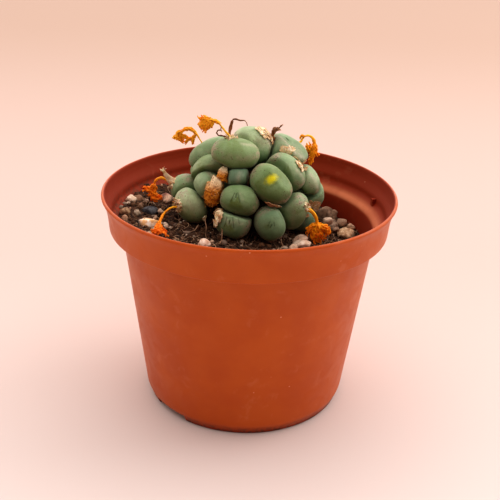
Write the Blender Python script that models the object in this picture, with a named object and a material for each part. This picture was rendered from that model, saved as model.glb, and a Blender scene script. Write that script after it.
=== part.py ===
"""Potted conophytum: a nursery pot with soil and pebbles, and a clump of plump succulent heads.

The pieces are shaped in millimetres and scaled to metres at the end. The pot stands on its
foot ring at the origin, +Z is up, and the side of the plant with most flowers faces -Y.
"""
import math
import random

import bmesh
import bpy
import numpy as np
from mathutils import Matrix, Vector

METRES = 0.001
GAP = 0.3               # between pieces that touch
UP = np.array([0.0, 0.0, 1.0])
OBLIQUE = (0.31, 0.86, 0.4)     # a direction that no stalk takes
SMOOTH_ANGLE = 50.0     # degrees between faces that are shaded as one surface

# Pot
RIM_RADIUS = 45.0
POT_HEIGHT = 68.0
WALL = 0.9
COLLAR_DEPTH = 11.0     # from the top of the rim to the step under the collar
COLLAR_TOP = 43.5       # outer radius of the collar under the lip
COLLAR_FOOT = 42.8      # outer radius of the collar at the step
BODY_TOP = 39.2         # outer radius of the tapered body at the step
BODY_BASE = 31.7        # outer radius to which the body's taper runs at the base
FOOT_RADIUS = 30.8
FOOT_WIDTH = 1.6
FOOT_CHAMFER = 3.5
UNDERSIDE = 2.0         # height of the floor's underside
FLOOR = 3.0             # height of the floor's upper side
LEDGE = POT_HEIGHT - COLLAR_DEPTH + 0.8
BEAD = (1.1, 1.2)       # half width and half height of the bead round the lip
EDGE = 0.4              # size of the small bevels
POT_SIDES = 48
NOTCH_TURNS = (-137.0, 43.0)
NOTCH_ARC = 25.0        # degrees
NOTCH_HEIGHT = 1.8
DRAIN_RADIUS = 3.0
DRAIN_RING = 19.0
DRAIN_COUNT = 6
DRAIN_SIDES = 12
OVERCUT = 5.0           # how far a cutter runs past the edge that it cuts
LUG_TURNS = (16.5, 106.5, 196.5, 286.5)
LUG_SIZE = (1.6, 1.4, 4.0)

# Soil: a tilted surface with low bumps
SOIL_LEVEL = 53.2
SOIL_TILT = 0.11        # drop for each millimetre towards +X
SOIL_BUMP = 0.5
SOIL_BEVEL = 0.6
SOIL_SIDES = 48
SOIL_RINGS = 9

# Rootstock: a dome that carries the heads, on a stub in the soil
CROWN = np.array([-1.0, 9.0, 59.0])
CROWN_RADIUS = 8.4
CROWN_RISE = 12.2
STUB_RADIUS = 6.0
STUB_FOOT = 44.5
STUB_BEVEL = (1.5, 2.0)
STUB_NECK = 54.2        # height at which the stub turns into the dome
DOME_RINGS = (-15, 5, 25, 45, 65)   # degrees over the horizontal
ROOTSTOCK_SIDES = 18
ROOTSTOCK_SEED = 3
SCAR_DEPTH = 0.07       # share by which leaf scars draw the dome's skin in

# Heads: centre, azimuth and elevation of the axis, slope of the long side seen from the front,
# half the long side, half the short side, and height of the crown over the centre
HEADS = (
    ((-4.5, 3.0, 76.8), 150, 80, -10, 7.7, 6.2, 6.0),
    ((-0.1, 13.0, 77.9), 60, 75, -25, 7.0, 6.0, 6.0),
    ((11.8, 15.0, 75.5), 20, 65, -35, 7.5, 5.7, 5.6),
    ((11.5, 6.0, 71.5), -20, 45, -45, 7.5, 5.2, 5.2),
    ((17.4, 12.0, 66.5), 0, 35, -65, 7.0, 5.2, 5.2),
    ((19.6, 14.5, 62.6), 10, 15, 80, 5.4, 4.8, 4.8),
    ((5.8, -1.5, 70.2), -75, 35, -42, 8.5, 6.0, 5.6),
    ((13.4, 1.3, 61.0), -35, 15, -70, 6.6, 5.2, 5.2),
    ((17.2, 7.5, 55.6), -15, 5, 80, 4.2, 4.0, 4.0),
    ((6.3, -4.7, 58.9), -75, 12, -58, 6.6, 5.1, 5.2),
    ((-2.6, -3.2, 65.8), -95, 38, -10, 7.4, 5.9, 5.3),
    ((-4.4, -5.0, 58.6), -105, 8, -18, 6.5, 5.1, 5.2),
    ((-2.6, 0.5, 71.8), -95, 45, 0, 4.4, 4.1, 4.2),
    ((-13.0, 4.2, 66.7), -150, 30, 60, 6.2, 5.0, 5.0),
    ((-12.8, 9.0, 71.0), 175, 45, 35, 6.6, 5.2, 5.2),
    ((-13.0, 14.0, 73.3), 160, 60, 38, 7.4, 5.7, 5.6),
    ((-20.2, 12.0, 63.2), 180, 20, 45, 5.3, 4.9, 5.0),
    ((-17.4, 3.8, 60.3), -165, 5, -60, 6.8, 5.7, 5.2),
)
# Heads that have dried up among the others, written as above
WITHERED = (
    ((-10.8, -1.0, 66.9), -110, 20, 80, 5.6, 2.8, 2.6),
    ((-8.0, 0.0, 72.1), -110, 30, 80, 2.8, 1.9, 2.2),
)
# Rows of heads round the back: count, first azimuth, step, distance from the crown, height, elevation
BACK_ROWS = (
    (5, 38.0, 29.0, 18.5, 60.0, 12.0),
    (4, 34.0, 38.0, 14.5, 68.0, 38.0),
    (2, 66.0, 52.0, 11.5, 72.2, 60.0),
)
BACK_SEED = 5
BACK_SWAY = (3.0, 0.6, 0.8)     # random change of azimuth, distance and height, either way
BACK_SLOPE = 35.0
BACK_HALF_LONG = (6.2, 7.2)
BACK_WIDTH_SHARE = 0.82
BACK_CROWN = 5.3
HEAD_SIDES = 14
HEAD_POLAR = (13, 32, 52, 73, 95, 120, 150)    # degrees from the top of the head
ROUNDNESS = 2.3         # exponent of the heads' superellipsoid
PRESS = 9.0             # how sharply a head flattens against its neighbours
UNDERSIDE_SHARE = 1.35  # depth of a head under its centre, as a share of its crown
NECK_SHARE = 1.12       # unpressed length of the neck, as a share of the way to the rootstock
NECK_SLIMNESS = 0.09
DIMPLE = 0.5
CRUMPLE = 0.18          # share by which a withered head's skin is drawn in

# Dried flowers: head they grow from (counted from 1), the stalk's route, stalk radius,
# number of petals, petal length, and how far the petals spread
FLOWERS = (
    (1, ((-6.3, 4.6, 83.4), (-7.2, 4.8, 85.2), (-9.0, 4.8, 87.4), (-11.3, 4.5, 88.3), (-12.8, 4.2, 87.7)),
     0.45, 9, 4.0, 1.0),
    (16, ((-14.8, 15.2, 78.8), (-16.8, 15.0, 81.2), (-18.8, 15.0, 82.0), (-20.6, 15.0, 80.9)),
     0.45, 9, 4.2, 1.0),
    (1, ((-6.3, 7.6, 82.4), (-6.4, 8.0, 85.4), (-5.2, 8.5, 87.6), (-2.6, 9.0, 87.8), (-1.6, 9.0, 86.8)),
     0.5, 0, 0.0, 0.0),
    (3, ((7.4, 13.5, 80.8), (7.6, 13.0, 82.6), (8.4, 13.0, 83.8)), 0.5, 4, 1.8, 1.2),
    (3, ((16.0, 19.0, 78.0), (17.4, 19.6, 79.8), (19.3, 19.4, 79.2), (19.8, 18.8, 77.0)), 0.5, 9, 5.4, 0.7),
    (17, ((-25.0, 11.0, 65.2), (-27.0, 11.0, 66.6), (-29.4, 11.6, 66.0), (-30.6, 12.4, 64.2)),
     0.6, 9, 5.0, 0.7),
    (18, ((-22.8, 1.2, 61.4), (-24.2, -2.0, 61.8), (-25.8, -6.0, 60.4), (-26.4, -8.4, 59.3)),
     0.5, 8, 4.0, 1.0),
    (8, ((16.6, -0.8, 62.6), (18.8, -0.4, 62.2), (20.8, 0.0, 59.2), (21.5, 0.2, 56.8)), 0.6, 10, 5.2, 0.7),
)
BROWN_FLOWERS = (3, 4)  # counted from 1
STALK_SIDES = 6
STALK_FOOT = 1.5        # swelling of a stalk's foot, as a share of its radius
STALK_TIP = 0.7         # of a tip without petals
CALYX = 2.2             # of a tip with petals
GOLDEN_TURN = math.radians(137.5)
PETAL_RADIUS = 0.42
PETAL_SEAT = (0.25, 0.65)       # depth at which petals start in the stalk's end
PETAL_SIDES = 4
PETAL_JOINTS = 3
PETAL_STRETCH = (0.8, 1.1)
PETAL_CURL = 0.35
PETAL_DROOP = 0.22

# Papery sheath scraps: head they cling to, a point towards which they lie, half length and half width
SHEATHS = (
    (12, (-10.0, -8.0, 62.0), 2.6, 1.6),
    (2, (4.4, 11.2, 83.0), 2.9, 2.2),
    (3, (11.4, 9.0, 78.0), 1.2, 2.4),
    (4, (16.0, 4.5, 75.2), 1.8, 1.1),
)
SHEATH_GRAIN = (1.0, 0.3, 0.1)      # the long side of a scrap runs square to this direction
SHEATH_THICKNESS = (0.6, 0.84)
SHEATH_RINGS = (0.55, 1.0)
SHEATH_SIDES = 10
SHEATH_RAGGEDNESS = 0.35

# Pebbles: x, y, half length, half width, half height, turn of the long side
PEBBLES = (
    (-38.0, 10.2, 1.9, 1.6, 1.4, 40),
    (-38.4, -0.4, 2.1, 1.6, 1.3, 80),
    (-31.0, -2.6, 4.6, 2.8, 2.0, -20),
    (-31.2, 6.9, 2.9, 2.1, 1.5, 10),
    (-35.2, 3.0, 1.7, 1.3, 1.2, 60),
    (-30.4, -12.4, 2.0, 1.5, 1.2, 20),
    (-27.6, 20.0, 2.8, 2.3, 1.7, 30),
    (-13.2, -13.0, 2.2, 1.8, 1.5, 0),
    (16.6, -4.4, 3.4, 2.2, 1.5, -8),
    (26.8, 13.6, 3.6, 2.2, 2.3, 70),
    (31.4, 8.6, 3.1, 2.6, 2.2, 20),
    (25.0, 21.0, 4.2, 3.2, 3.4, -30),
    (7.0, -27.0, 3.2, 2.4, 1.8, 35),
    (-11.0, -28.5, 2.6, 2.2, 1.6, 75),
)
PEBBLE_SIDES = 8
PEBBLE_POLAR = (32, 68, 106, 146)
PEBBLE_ROUGHNESS = 0.1
PEBBLE_SHOWING = 0.25   # height of a pebble's middle over the soil, as a share of its half height
PEBBLE_SQUARENESS = 2.4
SLATE_PEBBLE = 4        # the dark one, counted from 1


def linear(red, green, blue):
    """Scene-linear colour of an 8-bit display colour."""
    def channel(value):
        share = value / 255
        return share / 12.92 if share <= 0.04045 else ((share + 0.055) / 1.055) ** 2.4
    return (channel(red), channel(green), channel(blue), 1.0)


def material(name, colour, roughness):
    shader = bpy.data.materials.new(name)
    shader.use_nodes = True
    principled = shader.node_tree.nodes["Principled BSDF"]
    principled.inputs["Base Color"].default_value = linear(*colour)
    principled.inputs["Roughness"].default_value = roughness
    principled.inputs["Metallic"].default_value = 0.0
    return shader


def solid(name, points, faces, shader=None):
    """New object of a closed mesh in millimetres, with its faces turned outwards."""
    mesh = bpy.data.meshes.new(name)
    mesh.from_pydata([tuple(map(float, point)) for point in points], [], faces)
    shape = bmesh.new()
    shape.from_mesh(mesh)
    bmesh.ops.recalc_face_normals(shape, faces=shape.faces)
    shape.to_mesh(mesh)
    shape.free()
    if shader:
        mesh.materials.append(shader)
    piece = bpy.data.objects.new(name, mesh)
    bpy.context.collection.objects.link(piece)
    return piece


def rings_to_faces(rings, sides):
    """Faces of a skin over rings of points, closed by a pole point at each end.

    Points are numbered pole, ring, ring ... pole.
    """
    faces = [(0, 1 + step, 1 + (step + 1) % sides) for step in range(sides)]
    for ring in range(rings - 1):
        low = 1 + ring * sides
        for step in range(sides):
            after = (step + 1) % sides
            faces.append((low + step, low + sides + step, low + sides + after, low + after))
    last = 1 + rings * sides
    low = last - sides
    faces += [(low + step, last, low + (step + 1) % sides) for step in range(sides)]
    return faces


def turned(name, profile, sides, centre=(0.0, 0.0), shader=None):
    """Solid of revolution; the profile's first and last points lie on the axis."""
    points = [(centre[0], centre[1], profile[0][1])]
    for radius, height in profile[1:-1]:
        for step in range(sides):
            turn = math.tau * step / sides
            points.append((centre[0] + radius * math.cos(turn), centre[1] + radius * math.sin(turn), height))
    points.append((centre[0], centre[1], profile[-1][1]))
    return solid(name, points, rings_to_faces(len(profile) - 2, sides), shader)


def block(name, low, high, turn=0.0, shader=None):
    """Box between two corners, turned about the Z axis through the origin by degrees."""
    corners = [(x, y, z) for z in (low[2], high[2]) for y in (low[1], high[1]) for x in (low[0], high[0])]
    turning = Matrix.Rotation(math.radians(turn), 4, "Z")
    points = [turning @ Vector(corner) for corner in corners]
    faces = [(0, 2, 3, 1), (4, 5, 7, 6), (0, 1, 5, 4), (2, 6, 7, 3), (0, 4, 6, 2), (1, 3, 7, 5)]
    return solid(name, points, faces, shader)


def combine(piece, others, operation):
    """Apply one Boolean of the piece with a collection of other solids, then remove those."""
    group = bpy.data.collections.new("operands")
    bpy.context.scene.collection.children.link(group)
    for other in others:
        bpy.context.collection.objects.unlink(other)
        group.objects.link(other)
    change = piece.modifiers.new("combine", "BOOLEAN")
    change.operation = operation
    change.operand_type = "COLLECTION"
    change.collection = group
    change.solver = "EXACT"
    evaluated = piece.evaluated_get(bpy.context.evaluated_depsgraph_get())
    result = bpy.data.meshes.new_from_object(evaluated)
    piece.modifiers.remove(change)
    piece.data = result
    for other in others:
        bpy.data.objects.remove(other)
    bpy.data.collections.remove(group)


def arc(centre, size, start, end, count):
    """Points along part of an ellipse in the profile plane, angles in degrees."""
    points = []
    for step in range(count):
        angle = math.radians(start + (end - start) * step / (count - 1))
        points.append((centre[0] + size[0] * math.cos(angle), centre[1] + size[1] * math.sin(angle)))
    return points


def body_radius(height):
    """Outer radius of the pot's tapered body."""
    return BODY_BASE + (BODY_TOP - BODY_BASE) * height / (POT_HEIGHT - COLLAR_DEPTH)


def pot_profile():
    """Radius and height of the pot's skin, from the middle of its underside round to its floor."""
    step = POT_HEIGHT - COLLAR_DEPTH
    bead_centre = (RIM_RADIUS - BEAD[0], POT_HEIGHT - BEAD[1])
    bead_foot = bead_centre[1] - BEAD[1]
    outside = [
        (0.0, UNDERSIDE),
        (FOOT_RADIUS - FOOT_WIDTH - EDGE, UNDERSIDE),
        (FOOT_RADIUS - FOOT_WIDTH, 0.0),
        (FOOT_RADIUS, 0.0),
        (body_radius(FOOT_CHAMFER), FOOT_CHAMFER),
        (body_radius(step - EDGE), step - EDGE),
        (BODY_TOP + EDGE, step),
        (COLLAR_FOOT - EDGE, step),
        (COLLAR_FOOT, step + EDGE),
        (COLLAR_TOP, bead_foot - EDGE),
    ]
    inside = [
        (COLLAR_TOP - WALL, bead_foot),
        (COLLAR_FOOT - WALL, LEDGE + EDGE),
        (COLLAR_FOOT - WALL - EDGE, LEDGE),
        (BODY_TOP - WALL + EDGE, LEDGE),
        (BODY_TOP - WALL, LEDGE - EDGE),
        (body_radius(FLOOR) - WALL, FLOOR + EDGE),
        (body_radius(FLOOR) - WALL - EDGE, FLOOR),
        (0.0, FLOOR),
    ]
    return outside + arc(bead_centre, BEAD, -70, 185, 7) + inside


def make_pot(shader):
    pot = turned("pot", pot_profile(), POT_SIDES, shader=shader)
    lugs = []
    for turn in LUG_TURNS:
        outer = COLLAR_FOOT - WALL + EDGE
        low = (outer - LUG_SIZE[0], -LUG_SIZE[1] / 2, LEDGE - EDGE)
        high = (outer, LUG_SIZE[1] / 2, LEDGE + LUG_SIZE[2])
        lugs.append(block("lug", low, high, turn, shader))
    combine(pot, lugs, "UNION")
    cutters = []
    for turn in NOTCH_TURNS:
        half_width = FOOT_RADIUS * math.sin(math.radians(NOTCH_ARC / 2))
        low = (FOOT_RADIUS - OVERCUT, -half_width, -OVERCUT)
        high = (FOOT_RADIUS + OVERCUT, half_width, NOTCH_HEIGHT)
        cutters.append(block("notch", low, high, turn))
    drains = [(0.0, 0.0)]
    for step in range(DRAIN_COUNT):
        turn = math.tau * (step + 0.5) / DRAIN_COUNT
        drains.append((DRAIN_RING * math.cos(turn), DRAIN_RING * math.sin(turn)))
    low, high = UNDERSIDE - OVERCUT, FLOOR + OVERCUT
    shaft = ((0.0, low), (DRAIN_RADIUS, low), (DRAIN_RADIUS, high), (0.0, high))
    for centre in drains:
        cutters.append(turned("drain", shaft, DRAIN_SIDES, centre))
    combine(pot, cutters, "DIFFERENCE")


def soil_height(x, y):
    """Height of the soil's surface, always within SOIL_BUMP of its tilted plane."""
    bumps = math.sin(0.31 * x + 1.0) * math.cos(0.27 * y - 0.4) + 0.6 * math.sin(0.55 * y + 0.2 * x)
    return SOIL_LEVEL - SOIL_TILT * x + SOIL_BUMP * bumps / 1.6


def soil_edge(heading):
    """Radius at which the soil's surface meets the pot's wall in this direction."""
    edge = body_radius(SOIL_LEVEL) - WALL - GAP
    for _ in range(4):
        edge = body_radius(soil_height(*(edge * heading))) - WALL - GAP
    return edge


def make_soil(shader, cutters):
    """Soil that fills the pot's body, with a round hole for the stub and hollows for the pebbles."""
    headings = []
    for step in range(SOIL_SIDES):
        turn = math.tau * step / SOIL_SIDES
        headings.append(np.array([math.cos(turn), math.sin(turn)]))
    hole = [CROWN[:2] + (STUB_RADIUS + GAP) * heading for heading in headings]
    edge = [soil_edge(heading) * heading for heading in headings]
    points = [(CROWN[0], CROWN[1], STUB_FOOT - GAP)]
    points += [(*inner, STUB_FOOT - GAP) for inner in hole]
    for ring in range(SOIL_RINGS):
        share = ring / (SOIL_RINGS - 1)
        for inner, outer in zip(hole, edge):
            place = inner + (outer - inner) * share
            points.append((*place, soil_height(*place)))
    foot = body_radius(FLOOR) - WALL - GAP
    points += [(*(foot * heading), FLOOR + GAP + SOIL_BEVEL) for heading in headings]
    points += [(*((foot - SOIL_BEVEL) * heading), FLOOR + GAP) for heading in headings]
    points.append((0.0, 0.0, FLOOR + GAP))
    soil = solid("soil", points, rings_to_faces(SOIL_RINGS + 3, SOIL_SIDES), shader)
    combine(soil, cutters, "DIFFERENCE")


def make_rootstock(shader):
    """Stub in the soil and the dome above it, with shallow old leaf scars."""
    profile = [(0.0, STUB_FOOT), (STUB_RADIUS - STUB_BEVEL[0], STUB_FOOT),
               (STUB_RADIUS, STUB_FOOT + STUB_BEVEL[1]), (STUB_RADIUS, STUB_NECK)]
    for angle in DOME_RINGS:
        turn = math.radians(angle)
        profile.append((CROWN_RADIUS * math.cos(turn), CROWN[2] + CROWN_RISE * math.sin(turn)))
    profile.append((0.0, CROWN[2] + CROWN_RISE))
    dome = turned("rootstock", profile, ROOTSTOCK_SIDES, CROWN[:2], shader)
    draw = random.Random(ROOTSTOCK_SEED)
    for vertex in dome.data.vertices:
        if vertex.co.z > STUB_NECK + GAP:
            share = 1.0 - draw.uniform(0.0, SCAR_DEPTH)
            vertex.co = CROWN + (np.array(vertex.co) - CROWN) * share


class Head:
    """One plump body: a superellipsoid about its centre, pressed flat by planes round it."""

    def __init__(self, centre, azimuth, elevation, slope, half_long, half_short, crown):
        around, up = math.radians(azimuth), math.radians(elevation)
        self.centre = np.array(centre, float)
        self.axis = np.array([math.cos(up) * math.cos(around), math.cos(up) * math.sin(around), math.sin(up)])
        lean = math.radians(slope)
        side = np.array([math.cos(lean), 0.0, math.sin(lean)])
        side -= self.axis * (side @ self.axis)
        self.long = side / np.linalg.norm(side)
        self.short = np.cross(self.axis, self.long)
        self.size = (half_long, half_short, crown)
        self.planes = []
        inward = (CROWN - self.centre) / np.linalg.norm(CROWN - self.centre)
        bent = (inward - self.axis) / np.linalg.norm(inward - self.axis)
        if not self.reach_rootstock(bent):
            self.reach_rootstock(inward)

    def reach_rootstock(self, way):
        """Point the neck this way if that meets the rootstock's dome, and rest it on the dome."""
        scale = np.array([CROWN_RADIUS, CROWN_RADIUS, CROWN_RISE])
        start = (self.centre - CROWN) / scale
        run = way / scale
        half = start @ run
        spread = half ** 2 - (run @ run) * (start @ start - 1.0)
        if spread < 0:
            return False
        self.neck = way
        self.root = (-half - math.sqrt(spread)) / (run @ run)
        touch = self.centre + way * self.root
        normal = (touch - CROWN) / scale ** 2
        normal /= np.linalg.norm(normal)
        self.planes.append((-normal, (self.centre - touch) @ normal - GAP))
        return True

    def body(self, way):
        """Distance from the centre to the unpressed skin along unit directions."""
        along = np.stack([way @ self.long, way @ self.short, way @ self.axis], axis=-1)
        depth = np.where(along[..., 2] > 0, self.size[2], self.size[2] * UNDERSIDE_SHARE)
        total = (np.abs(along[..., 0]) / self.size[0]) ** ROUNDNESS
        total = total + (np.abs(along[..., 1]) / self.size[1]) ** ROUNDNESS
        total = total + (np.abs(along[..., 2]) / depth) ** ROUNDNESS
        egg = total ** (-1.0 / ROUNDNESS)
        toward = np.clip(way @ self.neck, 0.0, 1.0)
        neck = self.root * NECK_SHARE * np.exp((toward - 1.0) / NECK_SLIMNESS)
        return np.maximum(egg, neck)

    def press(self, other):
        """Set the plane between this head and another, each a little short of it."""
        line = other.centre - self.centre
        distance = np.linalg.norm(line)
        line /= distance
        mine, theirs = float(self.body(line)), float(other.body(-line))
        share = mine / (mine + theirs)
        self.planes.append((line, distance * share - GAP / 2))
        other.planes.append((-line, distance * (1 - share) - GAP / 2))

    def skin(self, way):
        """Distance from the centre to the pressed skin, inside every plane."""
        total = self.body(way) ** -PRESS
        for normal, distance in self.planes:
            facing = np.clip(way @ normal, 0.0, 1.0) / distance
            total = total + facing ** PRESS
        return total ** (-1.0 / PRESS)


def back_heads():
    draw = random.Random(BACK_SEED)
    turn_sway, far_sway, high_sway = BACK_SWAY
    heads = []
    for count, first, step, distance, height, elevation in BACK_ROWS:
        for place in range(count):
            azimuth = first + step * place + draw.uniform(-turn_sway, turn_sway)
            around = math.radians(azimuth)
            far = distance + draw.uniform(-far_sway, far_sway)
            high = height + draw.uniform(-high_sway, high_sway)
            centre = (CROWN[0] + far * math.cos(around), CROWN[1] + far * math.sin(around), high)
            slope = draw.uniform(-BACK_SLOPE, BACK_SLOPE)
            half_long = draw.uniform(*BACK_HALF_LONG)
            half_short = BACK_WIDTH_SHARE * half_long
            heads.append(Head(centre, azimuth, elevation, slope, half_long, half_short, BACK_CROWN))
    return heads


def plan_heads():
    """Green heads, front ones first, and the withered ones; each knows the planes that press it."""
    green = [Head(*row) for row in HEADS] + back_heads()
    withered = [Head(*row) for row in WITHERED]
    plan = green + withered
    down = np.array([-SOIL_TILT, 0.0, -1.0])
    down /= np.linalg.norm(down)
    for head in plan:
        level = SOIL_LEVEL + SOIL_BUMP + GAP - SOIL_TILT * head.centre[0]
        head.planes.append((down, (head.centre[2] - level) * -down[2]))
    for first, head in enumerate(plan):
        for other in plan[first + 1:]:
            head.press(other)
    return green, withered


def ways_round(axis, long, short, polar, sides):
    """Unit directions from the top pole over rings at polar angles to the bottom pole."""
    ways = [axis]
    for angle in polar:
        for step in range(sides):
            turn = math.tau * step / sides
            across = long * math.cos(turn) + short * math.sin(turn)
            ways.append(axis * math.cos(math.radians(angle)) + across * math.sin(math.radians(angle)))
    ways.append(-axis)
    return np.array(ways)


def make_head(name, head, shader, crumple=0.0):
    """Mesh of one head; a withered one has its skin drawn in at random by up to a share."""
    ways = ways_round(head.axis, head.long, head.short, HEAD_POLAR, HEAD_SIDES)
    draw = random.Random(name)
    shrink = np.array([1.0 - draw.uniform(0.0, crumple) for _ in ways])
    lengths = head.skin(ways) * shrink
    lengths[0] -= DIMPLE
    points = head.centre + ways * lengths[:, None]
    solid(name, points, rings_to_faces(len(HEAD_POLAR), HEAD_SIDES), shader)


class Pebble:
    """A worn stone lying in the soil, or on the pot's ledge where it is close to the wall."""

    def __init__(self, x, y, half_long, half_wide, half_high, turn, seed):
        self.size = np.array([half_long, half_wide, half_high])
        around = math.radians(turn)
        self.long = np.array([math.cos(around), math.sin(around), 0.0])
        self.short = np.array([-math.sin(around), math.cos(around), 0.0])
        on_ledge = math.hypot(x, y) + half_long > body_radius(SOIL_LEVEL) - WALL - GAP
        height = LEDGE + GAP + half_high if on_ledge else soil_height(x, y) + PEBBLE_SHOWING * half_high
        self.centre = np.array([x, y, height])
        self.seed = seed

    def skin(self, way):
        """Distance from the centre to the unworn skin along unit directions."""
        along = np.stack([way @ self.long, way @ self.short, way @ UP], axis=-1) / self.size
        return (np.abs(along) ** PEBBLE_SQUARENESS).sum(axis=-1) ** (-1 / PEBBLE_SQUARENESS)

    def make(self, name, grow=0.0, shader=None):
        """Mesh of the pebble, or of a hollow for it that is larger all round."""
        draw = random.Random(self.seed)
        ways = ways_round(UP, self.long, self.short, PEBBLE_POLAR, PEBBLE_SIDES)
        worn = np.array([1.0 - draw.uniform(0.0, PEBBLE_ROUGHNESS) for _ in ways])
        points = self.centre + ways * (self.skin(ways) * worn + grow)[:, None]
        return solid(name, points, rings_to_faces(len(PEBBLE_POLAR), PEBBLE_SIDES), shader)


def clear_of_all(point, margin, blobs):
    """Move a point out of the heads, pebbles, soil and pot, so that it keeps the margin."""
    point = np.array(point, float)
    for _ in range(3):
        for blob in blobs:
            offset = point - blob.centre
            distance = np.linalg.norm(offset)
            least = float(blob.skin(offset / distance)) + margin
            if distance < least:
                point = blob.centre + offset * least / distance
        point[2] = max(point[2], soil_height(point[0], point[1]) + margin)
        reach = body_radius(min(point[2], LEDGE)) - WALL - margin
        radius = math.hypot(point[0], point[1])
        if radius > reach:
            point[:2] *= reach / radius
    return point


def tube(name, route, radii, sides, shader):
    """Closed tube of a few sides along a route."""
    route = np.array(route, float)
    points = [route[0]]
    side = None
    for place, middle in enumerate(route):
        before, after = route[max(place - 1, 0)], route[min(place + 1, len(route) - 1)]
        along = (after - before) / np.linalg.norm(after - before)
        if side is None:
            side = np.cross(along, OBLIQUE)
        side = side - along * (side @ along)
        side /= np.linalg.norm(side)
        other = np.cross(along, side)
        for step in range(sides):
            turn = math.tau * step / sides
            points.append(middle + radii[place] * (side * math.cos(turn) + other * math.sin(turn)))
    points.append(route[-1])
    return solid(name, points, rings_to_faces(len(route), sides), shader)


def smooth_route(route, steps):
    """Points on a smooth curve through the route's own points."""
    route = [2 * np.array(route[0]) - np.array(route[1])] + [np.array(point) for point in route]
    route.append(2 * route[-1] - route[-2])
    points = []
    for place in range(1, len(route) - 2):
        one, two, three, four = route[place - 1:place + 3]
        for step in range(steps):
            share = step / steps
            points.append(0.5 * (2 * two + (three - one) * share
                                 + (2 * one - 5 * two + 4 * three - four) * share ** 2
                                 + (3 * two - one - 3 * three + four) * share ** 3))
    points.append(route[-2])
    return points


def fan(forward, spread, count):
    """Ways that spread evenly about the forward one, like seeds on a sunflower."""
    side = np.cross(forward, OBLIQUE)
    side /= np.linalg.norm(side)
    other = np.cross(forward, side)
    ways = []
    for place in range(count):
        turn = place * GOLDEN_TURN
        across = side * math.cos(turn) + other * math.sin(turn)
        ways.append(forward + across * spread * math.sqrt((place + 0.5) / count))
    return ways


def make_petal(end, forward, way, length, draw, blobs, shader):
    """Shrivelled petal that leaves the end of a stalk and curls at random."""
    curl = PETAL_CURL * np.array([draw.uniform(-1, 1) for _ in range(3)])
    point = end - draw.uniform(*PETAL_SEAT) * forward
    line = [point]
    for _ in range(PETAL_JOINTS):
        way = way / np.linalg.norm(way) + curl - PETAL_DROOP * UP
        stretch = length * draw.uniform(*PETAL_STRETCH) / PETAL_JOINTS
        point = point + way / np.linalg.norm(way) * stretch
        line.append(clear_of_all(point, PETAL_RADIUS + 2 * GAP, blobs))
    return tube("petal", line, [PETAL_RADIUS] * (PETAL_JOINTS + 1), PETAL_SIDES, shader)


def make_flower(name, row, heads, blobs, shader):
    """Dried flower: a bent stalk with a small calyx and a tuft of shrivelled petals."""
    parent, route, radius, count, length, spread = row
    parent = heads[parent - 1]
    toward = np.array(route[0]) - parent.centre
    toward /= np.linalg.norm(toward)
    stalk = [parent.centre + toward * (float(parent.skin(toward)) + 1.5 * GAP)]
    for point in smooth_route(route, 2)[1:]:
        stalk.append(clear_of_all(point, radius + 2 * GAP, blobs))
    end_share = CALYX if count else STALK_TIP
    radii = [radius * STALK_FOOT] + [radius] * (len(stalk) - 2) + [radius * end_share]
    piece = tube(name, stalk, radii, STALK_SIDES, shader)
    draw = random.Random(name)
    forward = (stalk[-1] - stalk[-2]) / np.linalg.norm(stalk[-1] - stalk[-2])
    petals = []
    for way in fan(forward, spread, count):
        petals.append(make_petal(stalk[-1], forward, way, length, draw, blobs, shader))
    if petals:
        combine(piece, petals, "UNION")


def make_sheath(name, row, heads, shader):
    """Ragged papery scrap that follows the skin of its head."""
    parent, target, half_long, half_wide = row
    parent = heads[parent - 1]
    axis = np.array(target) - parent.centre
    axis /= np.linalg.norm(axis)
    long = np.cross(axis, SHEATH_GRAIN)
    long /= np.linalg.norm(long)
    short = np.cross(axis, long)
    draw = random.Random(name)
    reach = float(parent.skin(axis))
    ways = [axis]
    for ring in SHEATH_RINGS:
        for step in range(SHEATH_SIDES):
            turn = math.tau * step / SHEATH_SIDES
            ragged = ring * (1.0 - draw.uniform(0.0, SHEATH_RAGGEDNESS) * ring)
            across = long * half_long * math.cos(turn) + short * half_wide * math.sin(turn)
            way = axis + across * ragged / reach
            ways.append(way / np.linalg.norm(way))
    ways = np.array(ways)
    under = parent.skin(ways) + GAP
    over = under + np.array([draw.uniform(*SHEATH_THICKNESS) for _ in ways])
    points = [parent.centre + way * length for way, length in zip(ways, over)]
    low = [parent.centre + way * length for way, length in zip(ways, under)]
    points += low[1 + SHEATH_SIDES:] + low[1:1 + SHEATH_SIDES] + low[:1]
    solid(name, points, rings_to_faces(2 * len(SHEATH_RINGS), SHEATH_SIDES), shader)


def finish(piece):
    """Scale the mesh to metres and shade its round faces smooth."""
    piece.data.transform(Matrix.Scale(METRES, 4))
    piece.data.shade_smooth()
    piece.data.set_sharp_from_angle(angle=math.radians(SMOOTH_ANGLE))


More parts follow.
